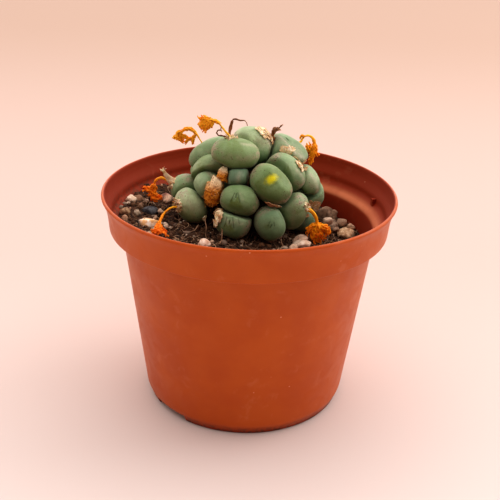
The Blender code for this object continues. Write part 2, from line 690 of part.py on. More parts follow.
def build():
    for leftover in list(bpy.data.objects):
        bpy.data.objects.remove(leftover)
    plastic = material("pot_plastic", (172, 68, 32), 0.45)
    peat = material("soil_peat", (58, 40, 30), 0.95)
    bark = material("rootstock_bark", (84, 62, 44), 0.9)
    skin = material("head_skin", (112, 132, 100), 0.5)
    dried = material("dried_flower", (222, 128, 26), 0.8)
    twig = material("dried_stalk", (112, 66, 34), 0.85)
    paper = material("dried_sheath", (206, 172, 122), 0.85)
    husk = material("withered_husk", (168, 116, 58), 0.9)
    stone = material("pebble_stone", (196, 172, 148), 0.8)
    slate = material("pebble_slate", (88, 88, 92), 0.75)
    make_pot(plastic)
    pebbles = [Pebble(*row, seed) for seed, row in enumerate(PEBBLES)]
    make_soil(peat, [pebble.make("hollow", GAP) for pebble in pebbles])
    for number, pebble in enumerate(pebbles, 1):
        pebble.make(f"pebble_{number:02d}", 0.0, slate if number == SLATE_PEBBLE else stone)
    make_rootstock(bark)
    heads, withered = plan_heads()
    for number, head in enumerate(heads, 1):
        make_head(f"head_{number:02d}", head, skin)
    for number, head in enumerate(withered, 1):
        make_head(f"withered_head_{number}", head, husk, CRUMPLE)
    blobs = heads + withered + pebbles
    for number, row in enumerate(FLOWERS, 1):
        shader = twig if number in BROWN_FLOWERS else dried
        make_flower(f"dried_flower_{number}", row, heads, blobs, shader)
    for number, row in enumerate(SHEATHS, 1):
        make_sheath(f"dried_sheath_{number}", row, heads, paper)
    for piece in bpy.data.objects:
        finish(piece)


build()
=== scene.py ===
"""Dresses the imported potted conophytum: fine meshes and procedural materials over the CAD solids.

Lengths are in millimetres until a mesh is made, and coordinates are the CAD's own.
"""
import math
import random

import bmesh
import bpy
import numpy as np
from mathutils import Matrix, Vector, noise


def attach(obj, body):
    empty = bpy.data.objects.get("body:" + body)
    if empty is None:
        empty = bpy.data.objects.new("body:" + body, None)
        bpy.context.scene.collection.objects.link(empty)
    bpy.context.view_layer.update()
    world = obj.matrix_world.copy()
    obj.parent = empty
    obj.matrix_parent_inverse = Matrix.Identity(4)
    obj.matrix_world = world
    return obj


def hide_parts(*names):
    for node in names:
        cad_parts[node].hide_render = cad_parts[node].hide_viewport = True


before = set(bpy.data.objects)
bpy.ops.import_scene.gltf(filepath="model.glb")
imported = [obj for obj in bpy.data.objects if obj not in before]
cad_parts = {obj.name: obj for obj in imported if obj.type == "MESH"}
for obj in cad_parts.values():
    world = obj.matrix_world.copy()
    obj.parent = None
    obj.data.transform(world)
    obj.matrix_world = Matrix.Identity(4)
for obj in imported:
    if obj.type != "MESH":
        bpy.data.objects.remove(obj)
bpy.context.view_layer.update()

# Vector noise is offset by the clock until it is seeded
noise.seed_set(7)

MM = 0.001
GAP = 0.3
UP = np.array([0.0, 0.0, 1.0])

# Soft light: the sky is brightest this way, and this strong at its darkest and brightest
SKY_WAY = (0.12, 0.68, 0.72)
SKY_LOW = 0.24
SKY_HIGH = 2.0
SKY_COLOUR = (255, 240, 233)
# Lamp, in metres and watts
LAMP_PLACE = (0.9, 0.35, 0.75)
LAMP_AIM = (0.0, 0.0, 0.05)
LAMP_SIZE = 0.7
LAMP_POWER = 3.0
LAMP_COLOUR = (1.0, 0.97, 0.94)

# Camera as solved from the pot's ellipses: place in metres, degrees down and round, lens in mm
CAMERA_PLACE = (0.000671, -0.25804, 0.16584)
CAMERA_PITCH = 24.606
CAMERA_ROLL = 1.864
CAMERA_LENS = 64.8

# Pot, with the CAD's sizes but a thinner lip and higher foot notches
RIM_RADIUS = 45.0
POT_HEIGHT = 68.0
WALL = 0.9
COLLAR_DEPTH = 11.0
COLLAR_TOP = 43.5
COLLAR_FOOT = 42.8
BODY_TOP = 39.2
BODY_BASE = 31.7
FOOT_RADIUS = 30.8
FOOT_WIDTH = 1.6
FOOT_CHAMFER = 3.5
UNDERSIDE = 2.0
FLOOR = 3.0
LEDGE = POT_HEIGHT - COLLAR_DEPTH + 0.8
RIM_THICKNESS = 0.95
FLARE = 3.8
LEDGE_SLOPE = 2.4
NOTCH_TURNS = (-137.0, 43.0)
NOTCH_ARC = 25.0
NOTCH_HEIGHT = 2.4
DRAIN_RADIUS = 3.0
DRAIN_RING = 19.0
DRAIN_COUNT = 6
LUG_TURNS = (16.5, 106.5, 196.5, 286.5)
LUG_SIZE = (1.6, 1.4, 4.0)
POT_SIDES = 180
# Soil marks on the wall: full and gone at these heights over the soil
SOILED = (0.5, 7.0)
# The ledge looks worn on the right only: from none to full between these places across
WORN_LEDGE = (8.0, 22.0)
SHARP_DEGREES = 38
# Height and radius halfway between the inside and the outside of the collar, up to the lip
WALL_MIDDLE = ((57.3, 42.3), (60.0, 42.5), (62.2, 42.7), (63.7, 43.25), (64.9, 43.68), (66.4, 44.12),
               (67.6, 44.2), (68.0, 44.3))

# Soil and rootstock
SOIL_LEVEL = 53.2
SOIL_TILT = 0.11
SOIL_BUMP = 0.5
# Where loose bits lie: this far out, and this much further where soil covers the ledge
OPEN_SOIL = 37.4
LEDGE_REACH = 3.6
# Direction of the soil on the ledge in degrees, and how far it goes to each side, in full and at all
HEAP_WAY = 166
HEAP_SPREAD = (22, 46)
# Radii between which that soil climbs, and its height over the ledge
HEAP_FOOT = (33.5, 39.0)
HEAP_HEIGHT = 1.1
# Relief of the surface: height and size of the lumps and of the crumble
LUMP_HEIGHT = 0.55
LUMP_SIZE = 5.5
CRUMBLE_HEIGHT = 0.4
CRUMBLE_SIZE = 1.6
SOIL_RINGS = 120
SOIL_SIDES = 300
# Loose bits on the soil
CRUMB_COUNT = 1500
FIBRE_COUNT = 900
GRIT_COUNT = 210
CHIP_COUNT = 150
CROWN = np.array([-1.0, 9.0, 59.0])
CROWN_RADIUS = 8.4
CROWN_RISE = 12.2

# Heads: centre, azimuth and elevation of the axis, slope of the long side seen from the front,
# half the long side, half the short side, height of the crown over the centre, and the depth of
# the underside as a share of the crown
HEADS = (
    ((-4.7, 3.5, 77.8), -48, 79, -11, 7.5, 5.9, 4.9, 0.84),
    ((0.1, 13.1, 78.0), 60, 75, -25, 6.4, 6.0, 5.8, 1.11),
    ((11.1, 14.8, 75.0), 22, 56, -35, 7.5, 5.7, 5.4, 1.35),
    ((10.9, 6.1, 71.7), -20, 45, -43, 6.8, 5.0, 5.0, 1.31),
    ((17.6, 12.2, 67.0), 0, 35, -65, 5.4, 5.1, 4.2, 0.61),
    ((19.1, 14.3, 62.1), 10, 15, 80, 5.3, 4.8, 4.8, 1.35),
    ((6.2, -1.4, 70.4), -84, 28, -43, 7.2, 5.3, 5.5, 1.46),
    ((13.4, 1.4, 61.1), -15, -17, -70, 6.2, 5.2, 4.7, 1.31),
    ((17.2, 7.5, 55.6), -15, 5, 80, 4.2, 4.0, 4.0, 1.35),
    ((6.3, -4.7, 59.0), -75, 12, -66, 5.5, 4.6, 5.0, 1.19),
    ((-2.9, -3.3, 65.7), -95, 38, -16, 6.2, 4.6, 5.0, 1.04),
    ((-4.7, -4.7, 59.3), -105, 8, -22, 5.6, 5.0, 5.1, 1.28),
    ((-3.8, 0.3, 71.7), -95, 45, 0, 4.1, 3.9, 4.3, 1.32),
    ((-12.1, 4.3, 66.9), -150, 30, 63, 4.2, 5.0, 5.5, 1.35),
    ((-12.7, 8.6, 70.2), 175, 45, 35, 6.0, 5.2, 5.3, 1.35),
    ((-12.0, 14.1, 73.5), 160, 60, 38, 8.0, 5.7, 5.5, 1.35),
    ((-19.8, 11.8, 62.8), 180, 20, 45, 4.8, 5.0, 5.5, 1.35),
    ((-18.1, 3.9, 60.6), -151, -23, -60, 5.9, 5.7, 4.6, 0.89),
)
# Withered heads, in the same form
WITHERED = (
    ((-10.8, -1.0, 66.9), -110, 20, 80, 5.6, 2.8, 2.6),
    ((-8.0, 0.0, 72.1), -110, 30, 80, 2.8, 1.9, 2.2),
)
HUSK_RINGS = 50
HUSK_SIDES = 64
HUSK_STRIPS = (150, 60)
# Widths of a withered head at its foot and at its top, against its plain shape
HUSK_FOOT = 0.8
HUSK_TOP = 1.12
# Heads at the back, row by row: number, first azimuth, step, distance from the crown's axis, height
# and elevation
BACK_ROWS = (
    (5, 38.0, 29.0, 18.5, 60.0, 12.0),
    (4, 34.0, 38.0, 14.5, 68.0, 38.0),
    (2, 66.0, 52.0, 11.5, 72.2, 60.0),
)
BACK_SEED = 5
BACK_SWAY = (3.0, 0.6, 0.8)
BACK_SLOPE = 35.0
BACK_HALF_LONG = (6.2, 7.2)
BACK_WIDTH_SHARE = 0.82
BACK_CROWN = 5.3
ROUNDNESS = 2.3
PRESS = 20.0
# Front to back: where two heads meet, the earlier one gives way by only this share of the overlap
FRONT_TO_BACK = (7, 11, 1, 10, 18, 12, 4, 8, 14, 2, 16, 15, 5, 3, 17, 13, 6, 9)
FRONT_GIVES = 0.12
HUSK_GIVES = 0.9
# Pairs drawn closer than the gap by this much, some into each other inside the joint, because the
# photo shows no flat between them
CLOSE_PAIRS = {(7, 11): 0.8, (11, 13): 0.5, (15, 16): 1.6, (1, 13): 0.4, (14, 18): 0.4}
# Pairs where the first one gives way by its own share
SHARED = {(15, 16): 0.55}
MEETING = (0.25, 0.75)
# Head whose pressed sides meet in rounder edges, and how sharp those are
SOFT_HEAD = (13, 7.0)
# Sides that are flatter than an egg's: head, direction, distance from the centre
FLATS = (
    (7, (0.66, -0.3, 0.68), 4.7),
    (3, (0.6, -0.5, 0.62), 4.9),
)
UNDERSIDE_SHARE = 1.35
NECK_SHARE = 1.12
NECK_SLIMNESS = 0.09
# Fissures: width of the groove, and distance and width of the lips beside it
GROOVE_WIDTH = 0.15
LIP_DISTANCE = 0.5
LIP_WIDTH = 0.32
# Unevenness of the skin: height and size
SKIN_RELIEF = ((0.12, 5.0), (0.03, 1.1))
HEAD_SIDES = 84
HEAD_POLAR = [1.3 * ring for ring in range(1, 17)] + [23 + 2.6 * ring for ring in range(30)] \
    + [104, 110, 117, 125, 134, 144, 155, 167]

# Fissures that show: head, upper end, lower end, depth, height of the lips
FISSURES = {
    1: ((-6.6, 5.4, 82.6), (-5.7, 3.6, 82.5), 0.3, 0.1),
    2: ((2.2, 13.0, 84.0), (3.6, 12.0, 83.2), 0.2, 0.1),
    3: ((10.6, 12.6, 80.8), (11.6, 12.0, 80.4), 0.15, 0.1),
    8: ((16.7, -1.5, 64.2), (16.2, -2.4, 63.2), 0.6, 0.2),
    10: ((7.0, -9.6, 60.7), (6.5, -10.0, 59.5), 0.12, 0.08),
    11: ((-4.0, -6.9, 69.4), (-4.1, -7.6, 68.0), 0.3, 0.14),
    12: ((-5.6, -9.2, 61.6), (-5.9, -9.8, 60.2), 0.22, 0.14),
    17: ((-24.4, 10.6, 65.6), (-24.6, 9.0, 63.6), 0.3, 0.1),
    18: ((-21.6, 1.2, 62.4), (-21.4, 0.2, 60.0), 0.3, 0.1),
}
# Translucent windows: head, tip and broad end of the fan, half width at the broad end, strength
WINDOWS = (
    (1, (-5.6, 3.4, 82.6), (-4.6, -2.2, 79.8), 3.0, 0.5),
    (2, (0.4, 8.6, 82.8), (2.8, 7.6, 79.5), 1.5, 0.4),
    (4, (11.2, 2.4, 75.6), (11.2, 0.9, 72.2), 1.4, 0.6),
    (7, (5.6, -5.2, 74.6), (2.4, -6.9, 70.6), 2.2, 0.7),
    (8, (16.4, -2.4, 63.0), (13.4, -3.6, 63.4), 1.8, 0.5),
    (10, (6.6, -9.6, 61.4), (5.4, -9.9, 59.2), 1.3, 0.4),
    (11, (-4.1, -7.4, 68.4), (-4.3, -8.9, 65.2), 2.3, 1.0),
    (12, (-5.7, -9.6, 60.9), (-6.3, -10.0, 58.2), 2.1, 0.9),
    (15, (-14.6, 4.4, 74.6), (-16.4, 5.4, 72.2), 1.8, 0.7),
    (18, (-20.4, -0.6, 61.4), (-16.0, -1.6, 60.6), 2.6, 0.3),
)
# Pale keels, partly painted highlight along the ridges, dotted lines and dark veins on the heads: head, kind,
# route, width, strength
LINES = (
    (1, "keel_and_ridge_highlight", ((-2.2, 1.0, 82.6), (0.6, 2.2, 82.0), (2.4, 4.0, 80.6)), 0.8, 0.4),
    (1, "keel_and_ridge_highlight", ((-10.6, 2.6, 81.6), (-11.4, 1.6, 79.6), (-11.0, 0.4, 76.6)), 0.7, 0.3),
    (2, "keel_and_ridge_highlight", ((4.0, 9.6, 82.6), (5.6, 9.4, 81.2), (6.4, 10.0, 79.0)), 0.6, 0.7),
    (3, "keel_and_ridge_highlight", ((8.6, 12.8, 81.2), (11.4, 10.4, 79.8), (14.6, 9.6, 77.0)), 0.5, 0.8),
    (3, "keel_and_ridge_highlight", ((15.6, 10.0, 76.6), (17.0, 10.4, 74.4)), 1.8, 0.5),
    (4, "keel_and_ridge_highlight", ((14.0, 3.0, 73.4), (15.6, 3.4, 71.2), (16.4, 4.2, 69.0)), 0.7, 0.5),
    (5, "keel_and_ridge_highlight", ((19.0, 8.2, 70.8), (20.6, 8.4, 68.0), (21.2, 9.0, 65.0)), 0.7, 0.6),
    (7, "dotted", ((1.2, -5.0, 74.4), (0.6, -6.2, 72.4), (0.6, -6.6, 70.2)), 0.35, 0.8),
    (7, "dotted", ((3.2, -4.0, 76.0), (5.2, -4.6, 75.6), (7.4, -5.0, 74.0)), 0.35, 0.8),
    (7, "dotted", ((9.6, -5.6, 70.0), (11.0, -5.4, 68.4), (11.4, -5.2, 67.0)), 0.9, 0.9),
    (8, "dotted", ((11.0, -3.2, 65.0), (10.4, -3.4, 62.4)), 0.4, 0.6),
    (11, "keel_and_ridge_highlight", ((-2.8, -7.2, 69.6), (-2.0, -8.2, 67.6)), 0.5, 0.2),
    (11, "vein", ((-4.6, -7.0, 69.7), (-5.1, -7.6, 68.4), (-5.8, -8.2, 67.2)), 0.2, 0.7),
    (11, "vein", ((-3.6, -7.0, 69.8), (-3.2, -7.7, 68.4), (-2.8, -8.3, 67.2)), 0.2, 0.6),
    (12, "vein", ((-6.6, -8.8, 62.2), (-7.0, -9.4, 60.6), (-7.6, -9.6, 59.4)), 0.2, 0.7),
    (12, "vein", ((-4.8, -9.0, 62.2), (-4.6, -9.6, 60.6), (-4.4, -9.9, 59.4)), 0.2, 0.7),
    (12, "vein", ((-3.2, -9.0, 61.8), (-2.8, -9.4, 60.6)), 0.2, 0.6),
    (10, "vein", ((6.4, -9.2, 61.4), (5.8, -9.6, 60.2)), 0.2, 0.6),
    (10, "vein", ((7.6, -9.0, 61.2), (7.8, -9.4, 60.2)), 0.2, 0.5),
    (12, "keel_and_ridge_highlight", ((-7.0, -9.0, 61.8), (-6.0, -9.6, 60.6), (-4.6, -9.6, 61.0)), 0.5, 0.25),
    (12, "keel_and_ridge_highlight", ((-3.2, -9.4, 61.6), (-2.4, -9.8, 60.4), (-1.4, -9.4, 60.6)), 0.5, 0.25),
    (13, "keel_and_ridge_highlight", ((-3.0, -2.8, 74.0), (-3.6, -3.4, 72.4), (-3.4, -3.6, 70.8)), 0.9, 0.3),
    (10, "dotted", ((4.0, -9.0, 61.2), (6.4, -9.8, 60.6), (8.2, -9.4, 60.8)), 0.3, 0.5),
)
# How olive, how blue and how pale each head looks; the paleness is the waxy coat together with painted light
# on faces that look up
TINTS = {
    1: (0.55, 0.0, 0.22), 2: (0.15, 0.1, 1.2), 3: (0.0, 0.3, 0.65), 4: (0.2, 0.2, 0.6), 5: (0.0, 0.2, 0.9),
    6: (0.0, 0.5, 0.6), 7: (0.5, 0.0, 0.2), 8: (0.2, 0.2, 0.6), 9: (0.0, 0.9, 0.1), 10: (0.0, 0.4, 0.25),
    11: (0.3, 0.0, 0.3), 12: (0.1, 0.4, 0.5), 13: (0.0, 0.8, 0.1), 14: (0.1, 0.3, 0.7), 15: (0.4, 0.0, 0.7),
    16: (0.1, 0.1, 0.42), 17: (0.2, 0.1, 0.6), 18: (0.45, 0.0, 1.4),
}
BACK_TINT = (0.15, 0.2, 0.6)
YELLOW_SPOT = (7, (6.4, -5.8, 73.8), 1.2)


def linear(red, green, blue):
    """Scene-linear colour of an 8-bit display colour."""
    def channel(value):
        share = value / 255
        return share / 12.92 if share <= 0.04045 else ((share + 0.055) / 1.055) ** 2.4
    return (channel(red), channel(green), channel(blue), 1.0)


def smooth(value, low, high):
    share = np.clip((value - low) / (high - low), 0.0, 1.0)
    return share * share * (3 - 2 * share)


def rough(points, size, octaves=3, shift=0.0):
    """Fractal noise at points in millimetres, features of about this size, roughly -1 to 1."""
    return np.array([noise.fractal(Vector(point) / size + Vector((shift, 0, 0)), 1.0, 2.0, octaves)
                     for point in np.asarray(points).reshape(-1, 3)])


def polar(radius, turn):
    return radius * math.cos(turn), radius * math.sin(turn)


def swung(first, second, turn):
    """The first vector turned towards the second."""
    return first * math.cos(turn) + second * math.sin(turn)


def ring_of(radius, height, sides, centre=(0.0, 0.0)):
    """Points of a level circle."""
    places = [polar(radius, math.tau * step / sides) for step in range(sides)]
    return [(centre[0] + x, centre[1] + y, height) for x, y in places]


def scatter(draw, size):
    """Random vector of about this size."""
    return np.array([draw.gauss(0, size) for _ in range(3)])


def drift(points, pace, phase=Vector((0.0, 0.0, 0.0))):
    """Vector noise at points in millimetres."""
    return np.array([noise.noise_vector(Vector(point) * pace + phase) for point in points])


def along_tube(values, sides):
    """Values for the points of a tube from values along its route."""
    return np.concatenate([values[:1], np.repeat(values, sides), values[-1:]])


def feed(tree, socket, value):
    if isinstance(value, bpy.types.NodeSocket):
        tree.links.new(value, socket)
    else:
        socket.default_value = value


def add_node(tree, kind, output, inputs=(), **settings):
    """One output of a new node with these settings and inputs, each a value or a socket."""
    node = tree.nodes.new(kind)
    for key, value in settings.items():
        setattr(node, key, value)
    for key, value in dict(inputs).items():
        feed(tree, node.inputs[key], value)
    return node.outputs[output]


class Shader:
    """A Principled material whose colour is laid on in steps. Texture space is in millimetres."""

    def __init__(self, name, roughness, specular):
        self.material = bpy.data.materials.new(name)
        self.material.use_nodes = True
        self.tree = self.material.node_tree
        self.out = self.tree.nodes["Principled BSDF"]
        self.let("Roughness", roughness)
        self.let("Specular IOR Level", specular)
        place = self.node("ShaderNodeTexCoord", "Object")
        self.place = self.node("ShaderNodeVectorMath", 0, {0: place, "Scale": 1 / MM}, operation="SCALE")

    def let(self, name, value):
        """Feed one input of the surface."""
        feed(self.tree, self.out.inputs[name], value)

    def node(self, kind, output, inputs=(), **settings):
        return add_node(self.tree, kind, output, inputs, **settings)

    def noise(self, size, detail, distortion=0.0, place=None):
        inputs = {"Vector": place or self.place, "Scale": 1 / size}
        inputs.update({"Detail": detail, "Distortion": distortion})
        return self.node("ShaderNodeTexNoise", "Fac", inputs)

    def band(self, value, low, high, start=0.0, end=1.0):
        """Smooth step of a value from start to end; low may be above high."""
        if low > high:
            low, high, start, end = high, low, end, start
        inputs = {"Value": value, "From Min": low, "From Max": high, "To Min": start, "To Max": end}
        return self.node("ShaderNodeMapRange", "Result", inputs, interpolation_type="SMOOTHSTEP")

    def patches(self, size, detail, low, high, start=0.0, end=1.0, distortion=0.0):
        """Soft patches of noise of this size."""
        return self.band(self.noise(size, detail, distortion), low, high, start, end)

    def dots(self, size, low, high, end=1.0):
        """Dots in cells of this size."""
        distance = self.node("ShaderNodeTexVoronoi", "Distance", {"Vector": self.place, "Scale": 1 / size})
        return self.band(distance, low, high, 0.0, end)

    def math(self, operation, first, second):
        return self.node("ShaderNodeMath", 0, {0: first, 1: second}, operation=operation)

    def times(self, first, second):
        return self.math("MULTIPLY", first, second)

    def mark(self, name, share=1.0):
        """An attribute of the mesh times a share."""
        return self.times(self.node("ShaderNodeAttribute", "Fac", attribute_name=name), share)

    def mix(self, share, first, second, blend="MIX"):
        inputs = {"Factor": share, 6: first, 7: second}
        return self.node("ShaderNodeMix", 2, inputs, data_type="RGBA", blend_type=blend)

    def base(self, share, first, second):
        """Start the colour as a mix of two display colours."""
        self.tone = linear(*first)
        self.lay(share, second)

    def lay(self, share, colour):
        """Lay a display colour over what is there."""
        self.tone = self.mix(share, self.tone, linear(*colour))
        self.let("Base Color", self.tone)

    def bump(self, height, distance, strength):
        """Bump of this many millimetres."""
        inputs = {"Height": height, "Distance": distance * MM, "Strength": strength}
        self.let("Normal", self.node("ShaderNodeBump", "Normal", inputs))

    def glow(self, weight, reach, radius=(1.0, 0.2, 0.1)):
        """Let light in under the surface, this many millimetres deep."""
        self.let("Subsurface Weight", weight)
        self.let("Subsurface Radius", radius)
        self.let("Subsurface Scale", reach * MM)


def placed(name, data):
    """New object in the scene."""
    piece = bpy.data.objects.new(name, data)
    bpy.context.collection.objects.link(piece)
    return piece


def solid(name, points, faces):
    """Mesh object from points in millimetres."""
    mesh = bpy.data.meshes.new(name)
    mesh.from_pydata((np.asarray(points, float) * MM).tolist(), [], faces)
    shape = bmesh.new()
    shape.from_mesh(mesh)
    bmesh.ops.recalc_face_normals(shape, faces=shape.faces)
    shape.to_mesh(mesh)
    shape.free()
    return placed(name, mesh)


def set_marks(mesh, marks):
    """Float attributes, one value a point."""
    for key, values in marks.items():
        layer = mesh.attributes.new(key, "FLOAT", "POINT")
        layer.data.foreach_set("value", np.asarray(values, np.float32))


def new_piece(name, points, faces, shader, marks):
    """Smooth piece that rides on the part."""
    piece = solid(name, points, faces)
    set_marks(piece.data, marks)
    piece.data.shade_smooth()
    piece.data.materials.append(shader.material)
    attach(piece, "root")
    return piece


class Heap:
    """Many small shapes gathered into one mesh."""

    def __init__(self):
        self.points = []
        self.faces = []
        self.marks = {}
        self.count = 0

    def add(self, points, faces, **marks):
        points = np.asarray(points, float)
        self.points.append(points)
        self.faces += [tuple(corner + self.count for corner in face) for face in faces]
        self.count += len(points)
        for key, value in marks.items():
            self.marks.setdefault(key, []).append(np.broadcast_to(value, len(points)))

    def piece(self, name, shader, slot):
        marks = {key: np.concatenate(values) for key, values in self.marks.items()}
        return new_piece(name, np.concatenate(self.points), self.faces, shader, marks)


def skin_faces(rings, sides):
    """Faces over rings of points with a pole point at each end."""
    faces = [(0, 1 + step, 1 + (step + 1) % sides) for step in range(sides)]
    for ring in range(rings - 1):
        low = 1 + ring * sides
        for step in range(sides):
            after = (step + 1) % sides
            faces.append((low + step, low + sides + step, low + sides + after, low + after))
    last = 1 + rings * sides
    low = last - sides
    faces += [(low + step, last, low + (step + 1) % sides) for step in range(sides)]
    return faces


def ways_round(axis, long, short, polar_angles, sides):
    """Unit directions from the top pole over rings at polar angles to the bottom pole."""
    ways = [axis]
    for angle in polar_angles:
        for step in range(sides):
            across = swung(long, short, math.tau * step / sides)
            ways.append(swung(axis, across, math.radians(angle)))
    ways.append(-axis)
    return np.array(ways)


def unit(vector):
    vector = np.asarray(vector, float)
    return vector / np.linalg.norm(vector)


def square_to(way, guess):
    """Unit vector nearest to the guess and square to the way."""
    guess = np.asarray(guess, float)
    return unit(guess - way * (guess @ way))


def tube(route, radii, sides=6, flat=1.0, side=None, twist=0.0):
    """Points and faces of a closed tube; flat narrows it across, twist turns it as it goes."""
    route = np.asarray(route, float)
    radii = np.broadcast_to(radii, len(route))
    points = [route[0]]
    for place, middle in enumerate(route):
        along = route[min(place + 1, len(route) - 1)] - route[max(place - 1, 0)]
        along = unit(along + 1e-9)
        side = square_to(along, (0.31, 0.86, 0.4) if side is None else side)
        other = np.cross(along, side)
        first = swung(side, other, twist * place)
        second = swung(other, -side, twist * place)
        for step in range(sides):
            points.append(middle + radii[place] * swung(first, flat * second, math.tau * step / sides))
    points.append(route[-1])
    return np.array(points), skin_faces(len(route), sides)


def curve_through(route, steps):
    """Points on a smooth curve through the route's own points."""
    route = [2 * np.array(route[0]) - np.array(route[1])] + [np.array(point, float) for point in route]
    route.append(2 * route[-1] - route[-2])
    points = []
    for place in range(1, len(route) - 2):
        one, two, three, four = route[place - 1:place + 3]
        for step in range(steps):
            share = step / steps
            points.append(0.5 * (2 * two + (three - one) * share
                                 + (2 * one - 5 * two + 4 * three - four) * share ** 2
                                 + (3 * two - one - 3 * three + four) * share ** 3))
    points.append(route[-2])
    return np.array(points)


def ball(detail):
    """Points and faces of a unit icosphere."""
    shape = bmesh.new()
    bmesh.ops.create_icosphere(shape, subdivisions=detail, radius=1.0)
    points = np.array([vertex.co for vertex in shape.verts])
    faces = [tuple(vertex.index for vertex in face.verts) for face in shape.faces]
    shape.free()
    return points, faces


BALLS = {detail: ball(detail) for detail in (1, 2, 3, 4)}


def stone(size, draw, detail, planes=9, worn=14.0, cut=0.72):
    """Points of a broken, worn stone about the origin: an ellipsoid cut by random planes."""
    ways, faces = BALLS[detail]
    size = np.asarray(size, float)
    total = np.sqrt(((ways / size) ** 2).sum(axis=1)) ** worn
    for _ in range(planes):
        normal = unit(scatter(draw, 1))
        reach = 1 / math.sqrt(((normal / size) ** 2).sum())
        total = total + (np.clip(ways @ normal, 0, 1) / (reach * draw.uniform(cut, 0.95))) ** worn
    return ways * (total ** (-1 / worn))[:, None], faces


def turned_about(points, draw, lean=1.0):
    """Points turned by a random rotation, mostly about Z where lean is small."""
    turn = Matrix.Rotation(draw.uniform(0, math.tau), 3, "Z")
    tip = Matrix.Rotation(draw.uniform(-1, 1) * lean, 3, "X")
    return points @ np.array(turn @ tip).T


# Heads


class Head:
    """One plump body: a superellipsoid about its centre, pressed flat by planes round it."""

    def __init__(self, centre, azimuth, elevation, slope, half_long, half_short, crown,
                 under=UNDERSIDE_SHARE):
        around, up = math.radians(azimuth), math.radians(elevation)
        self.under = under
        self.sharpness = PRESS
        self.centre = np.array(centre, float)
        self.axis = np.array([*polar(math.cos(up), around), math.sin(up)])
        lean = math.radians(slope)
        self.long = square_to(self.axis, (math.cos(lean), 0.0, math.sin(lean)))
        self.short = np.cross(self.axis, self.long)
        self.size = (half_long, half_short, crown)
        self.planes = []
        inward = unit(CROWN - self.centre)
        if not self.reach_rootstock(unit(inward - self.axis)):
            self.reach_rootstock(inward)

    def reach_rootstock(self, way):
        scale = np.array([CROWN_RADIUS, CROWN_RADIUS, CROWN_RISE])
        start = (self.centre - CROWN) / scale
        run = way / scale
        half = start @ run
        spread = half ** 2 - (run @ run) * (start @ start - 1.0)
        if spread < 0:
            return False
        self.neck = way
        self.root = (-half - math.sqrt(spread)) / (run @ run)
        touch = self.centre + way * self.root
        normal = unit((touch - CROWN) / scale ** 2)
        self.planes.append((-normal, (self.centre - touch) @ normal - GAP))
        return True

    def body(self, way):
        along = np.stack([way @ self.long, way @ self.short, way @ self.axis], axis=-1)
        depth = np.where(along[..., 2] > 0, self.size[2], self.size[2] * self.under)
        total = (np.abs(along[..., 0]) / self.size[0]) ** ROUNDNESS
        total = total + (np.abs(along[..., 1]) / self.size[1]) ** ROUNDNESS
        total = total + (np.abs(along[..., 2]) / depth) ** ROUNDNESS
        toward = np.clip(way @ self.neck, 0.0, 1.0)
        neck = self.root * NECK_SHARE * np.exp((toward - 1.0) / NECK_SLIMNESS)
        return np.maximum(total ** (-1.0 / ROUNDNESS), neck)

    def press(self, other, gives=None, closer=0.0):
        line = other.centre - self.centre
        distance = np.linalg.norm(line)
        line /= distance
        mine, theirs = float(self.body(line)), float(other.body(-line))
        share = mine / (mine + theirs) if gives is None else gives
        place = mine - (mine + theirs - distance) * share
        place = min(max(place, MEETING[0] * distance), MEETING[1] * distance)
        self.planes.append((line, place - GAP / 2 + closer / 2))
        other.planes.append((-line, distance - place - GAP / 2 + closer / 2))

    def skin(self, way):
        total = self.body(way) ** -self.sharpness
        for normal, distance in self.planes:
            total = total + (np.clip(way @ normal, 0.0, 1.0) / distance) ** self.sharpness
        return total ** (-1.0 / self.sharpness)

    def spot(self, target, lift=0.0):
        """Point of the skin in the direction of a target, raised by the lift."""
        way = unit(np.asarray(target, float) - self.centre)
        return self.centre + way * (float(self.skin(way)) + lift)


def plan_heads():
    draw = random.Random(BACK_SEED)
    turn_sway, far_sway, high_sway = BACK_SWAY
    green = [Head(*row) for row in HEADS]
    for count, first, step, distance, height, elevation in BACK_ROWS:
        for place in range(count):
            azimuth = first + step * place + draw.uniform(-turn_sway, turn_sway)
            around = math.radians(azimuth)
            far = distance + draw.uniform(-far_sway, far_sway)
            high = height + draw.uniform(-high_sway, high_sway)
            centre = (*(CROWN[:2] + polar(far, around)), high)
            slope = draw.uniform(-BACK_SLOPE, BACK_SLOPE)
            half_long = draw.uniform(*BACK_HALF_LONG)
            green.append(Head(centre, azimuth, elevation, slope, half_long,
                              BACK_WIDTH_SHARE * half_long, BACK_CROWN))
    withered = [Head(*row) for row in WITHERED]
    plan = green + withered
    down = unit((-SOIL_TILT, 0.0, -1.0))
    for head in plan:
        level = SOIL_LEVEL + SOIL_BUMP + GAP - SOIL_TILT * head.centre[0]
        head.planes.append((down, (head.centre[2] - level) * -down[2]))
    green[SOFT_HEAD[0] - 1].sharpness = SOFT_HEAD[1]
    for number, normal, distance in FLATS:
        green[number - 1].planes.append((unit(normal), distance))
    for first, head in enumerate(plan, 1):
        for second, other in enumerate(plan[first:], first + 1):
            gives = None
            if first in FRONT_TO_BACK and second in FRONT_TO_BACK:
                in_front = FRONT_TO_BACK.index(first) < FRONT_TO_BACK.index(second)
                gives = FRONT_GIVES if in_front else 1 - FRONT_GIVES
            elif second > len(green):
                gives = 1 - HUSK_GIVES
            gives = SHARED.get((first, second), gives)
            head.press(other, gives, CLOSE_PAIRS.get((first, second), 0.0))
    return green, withered


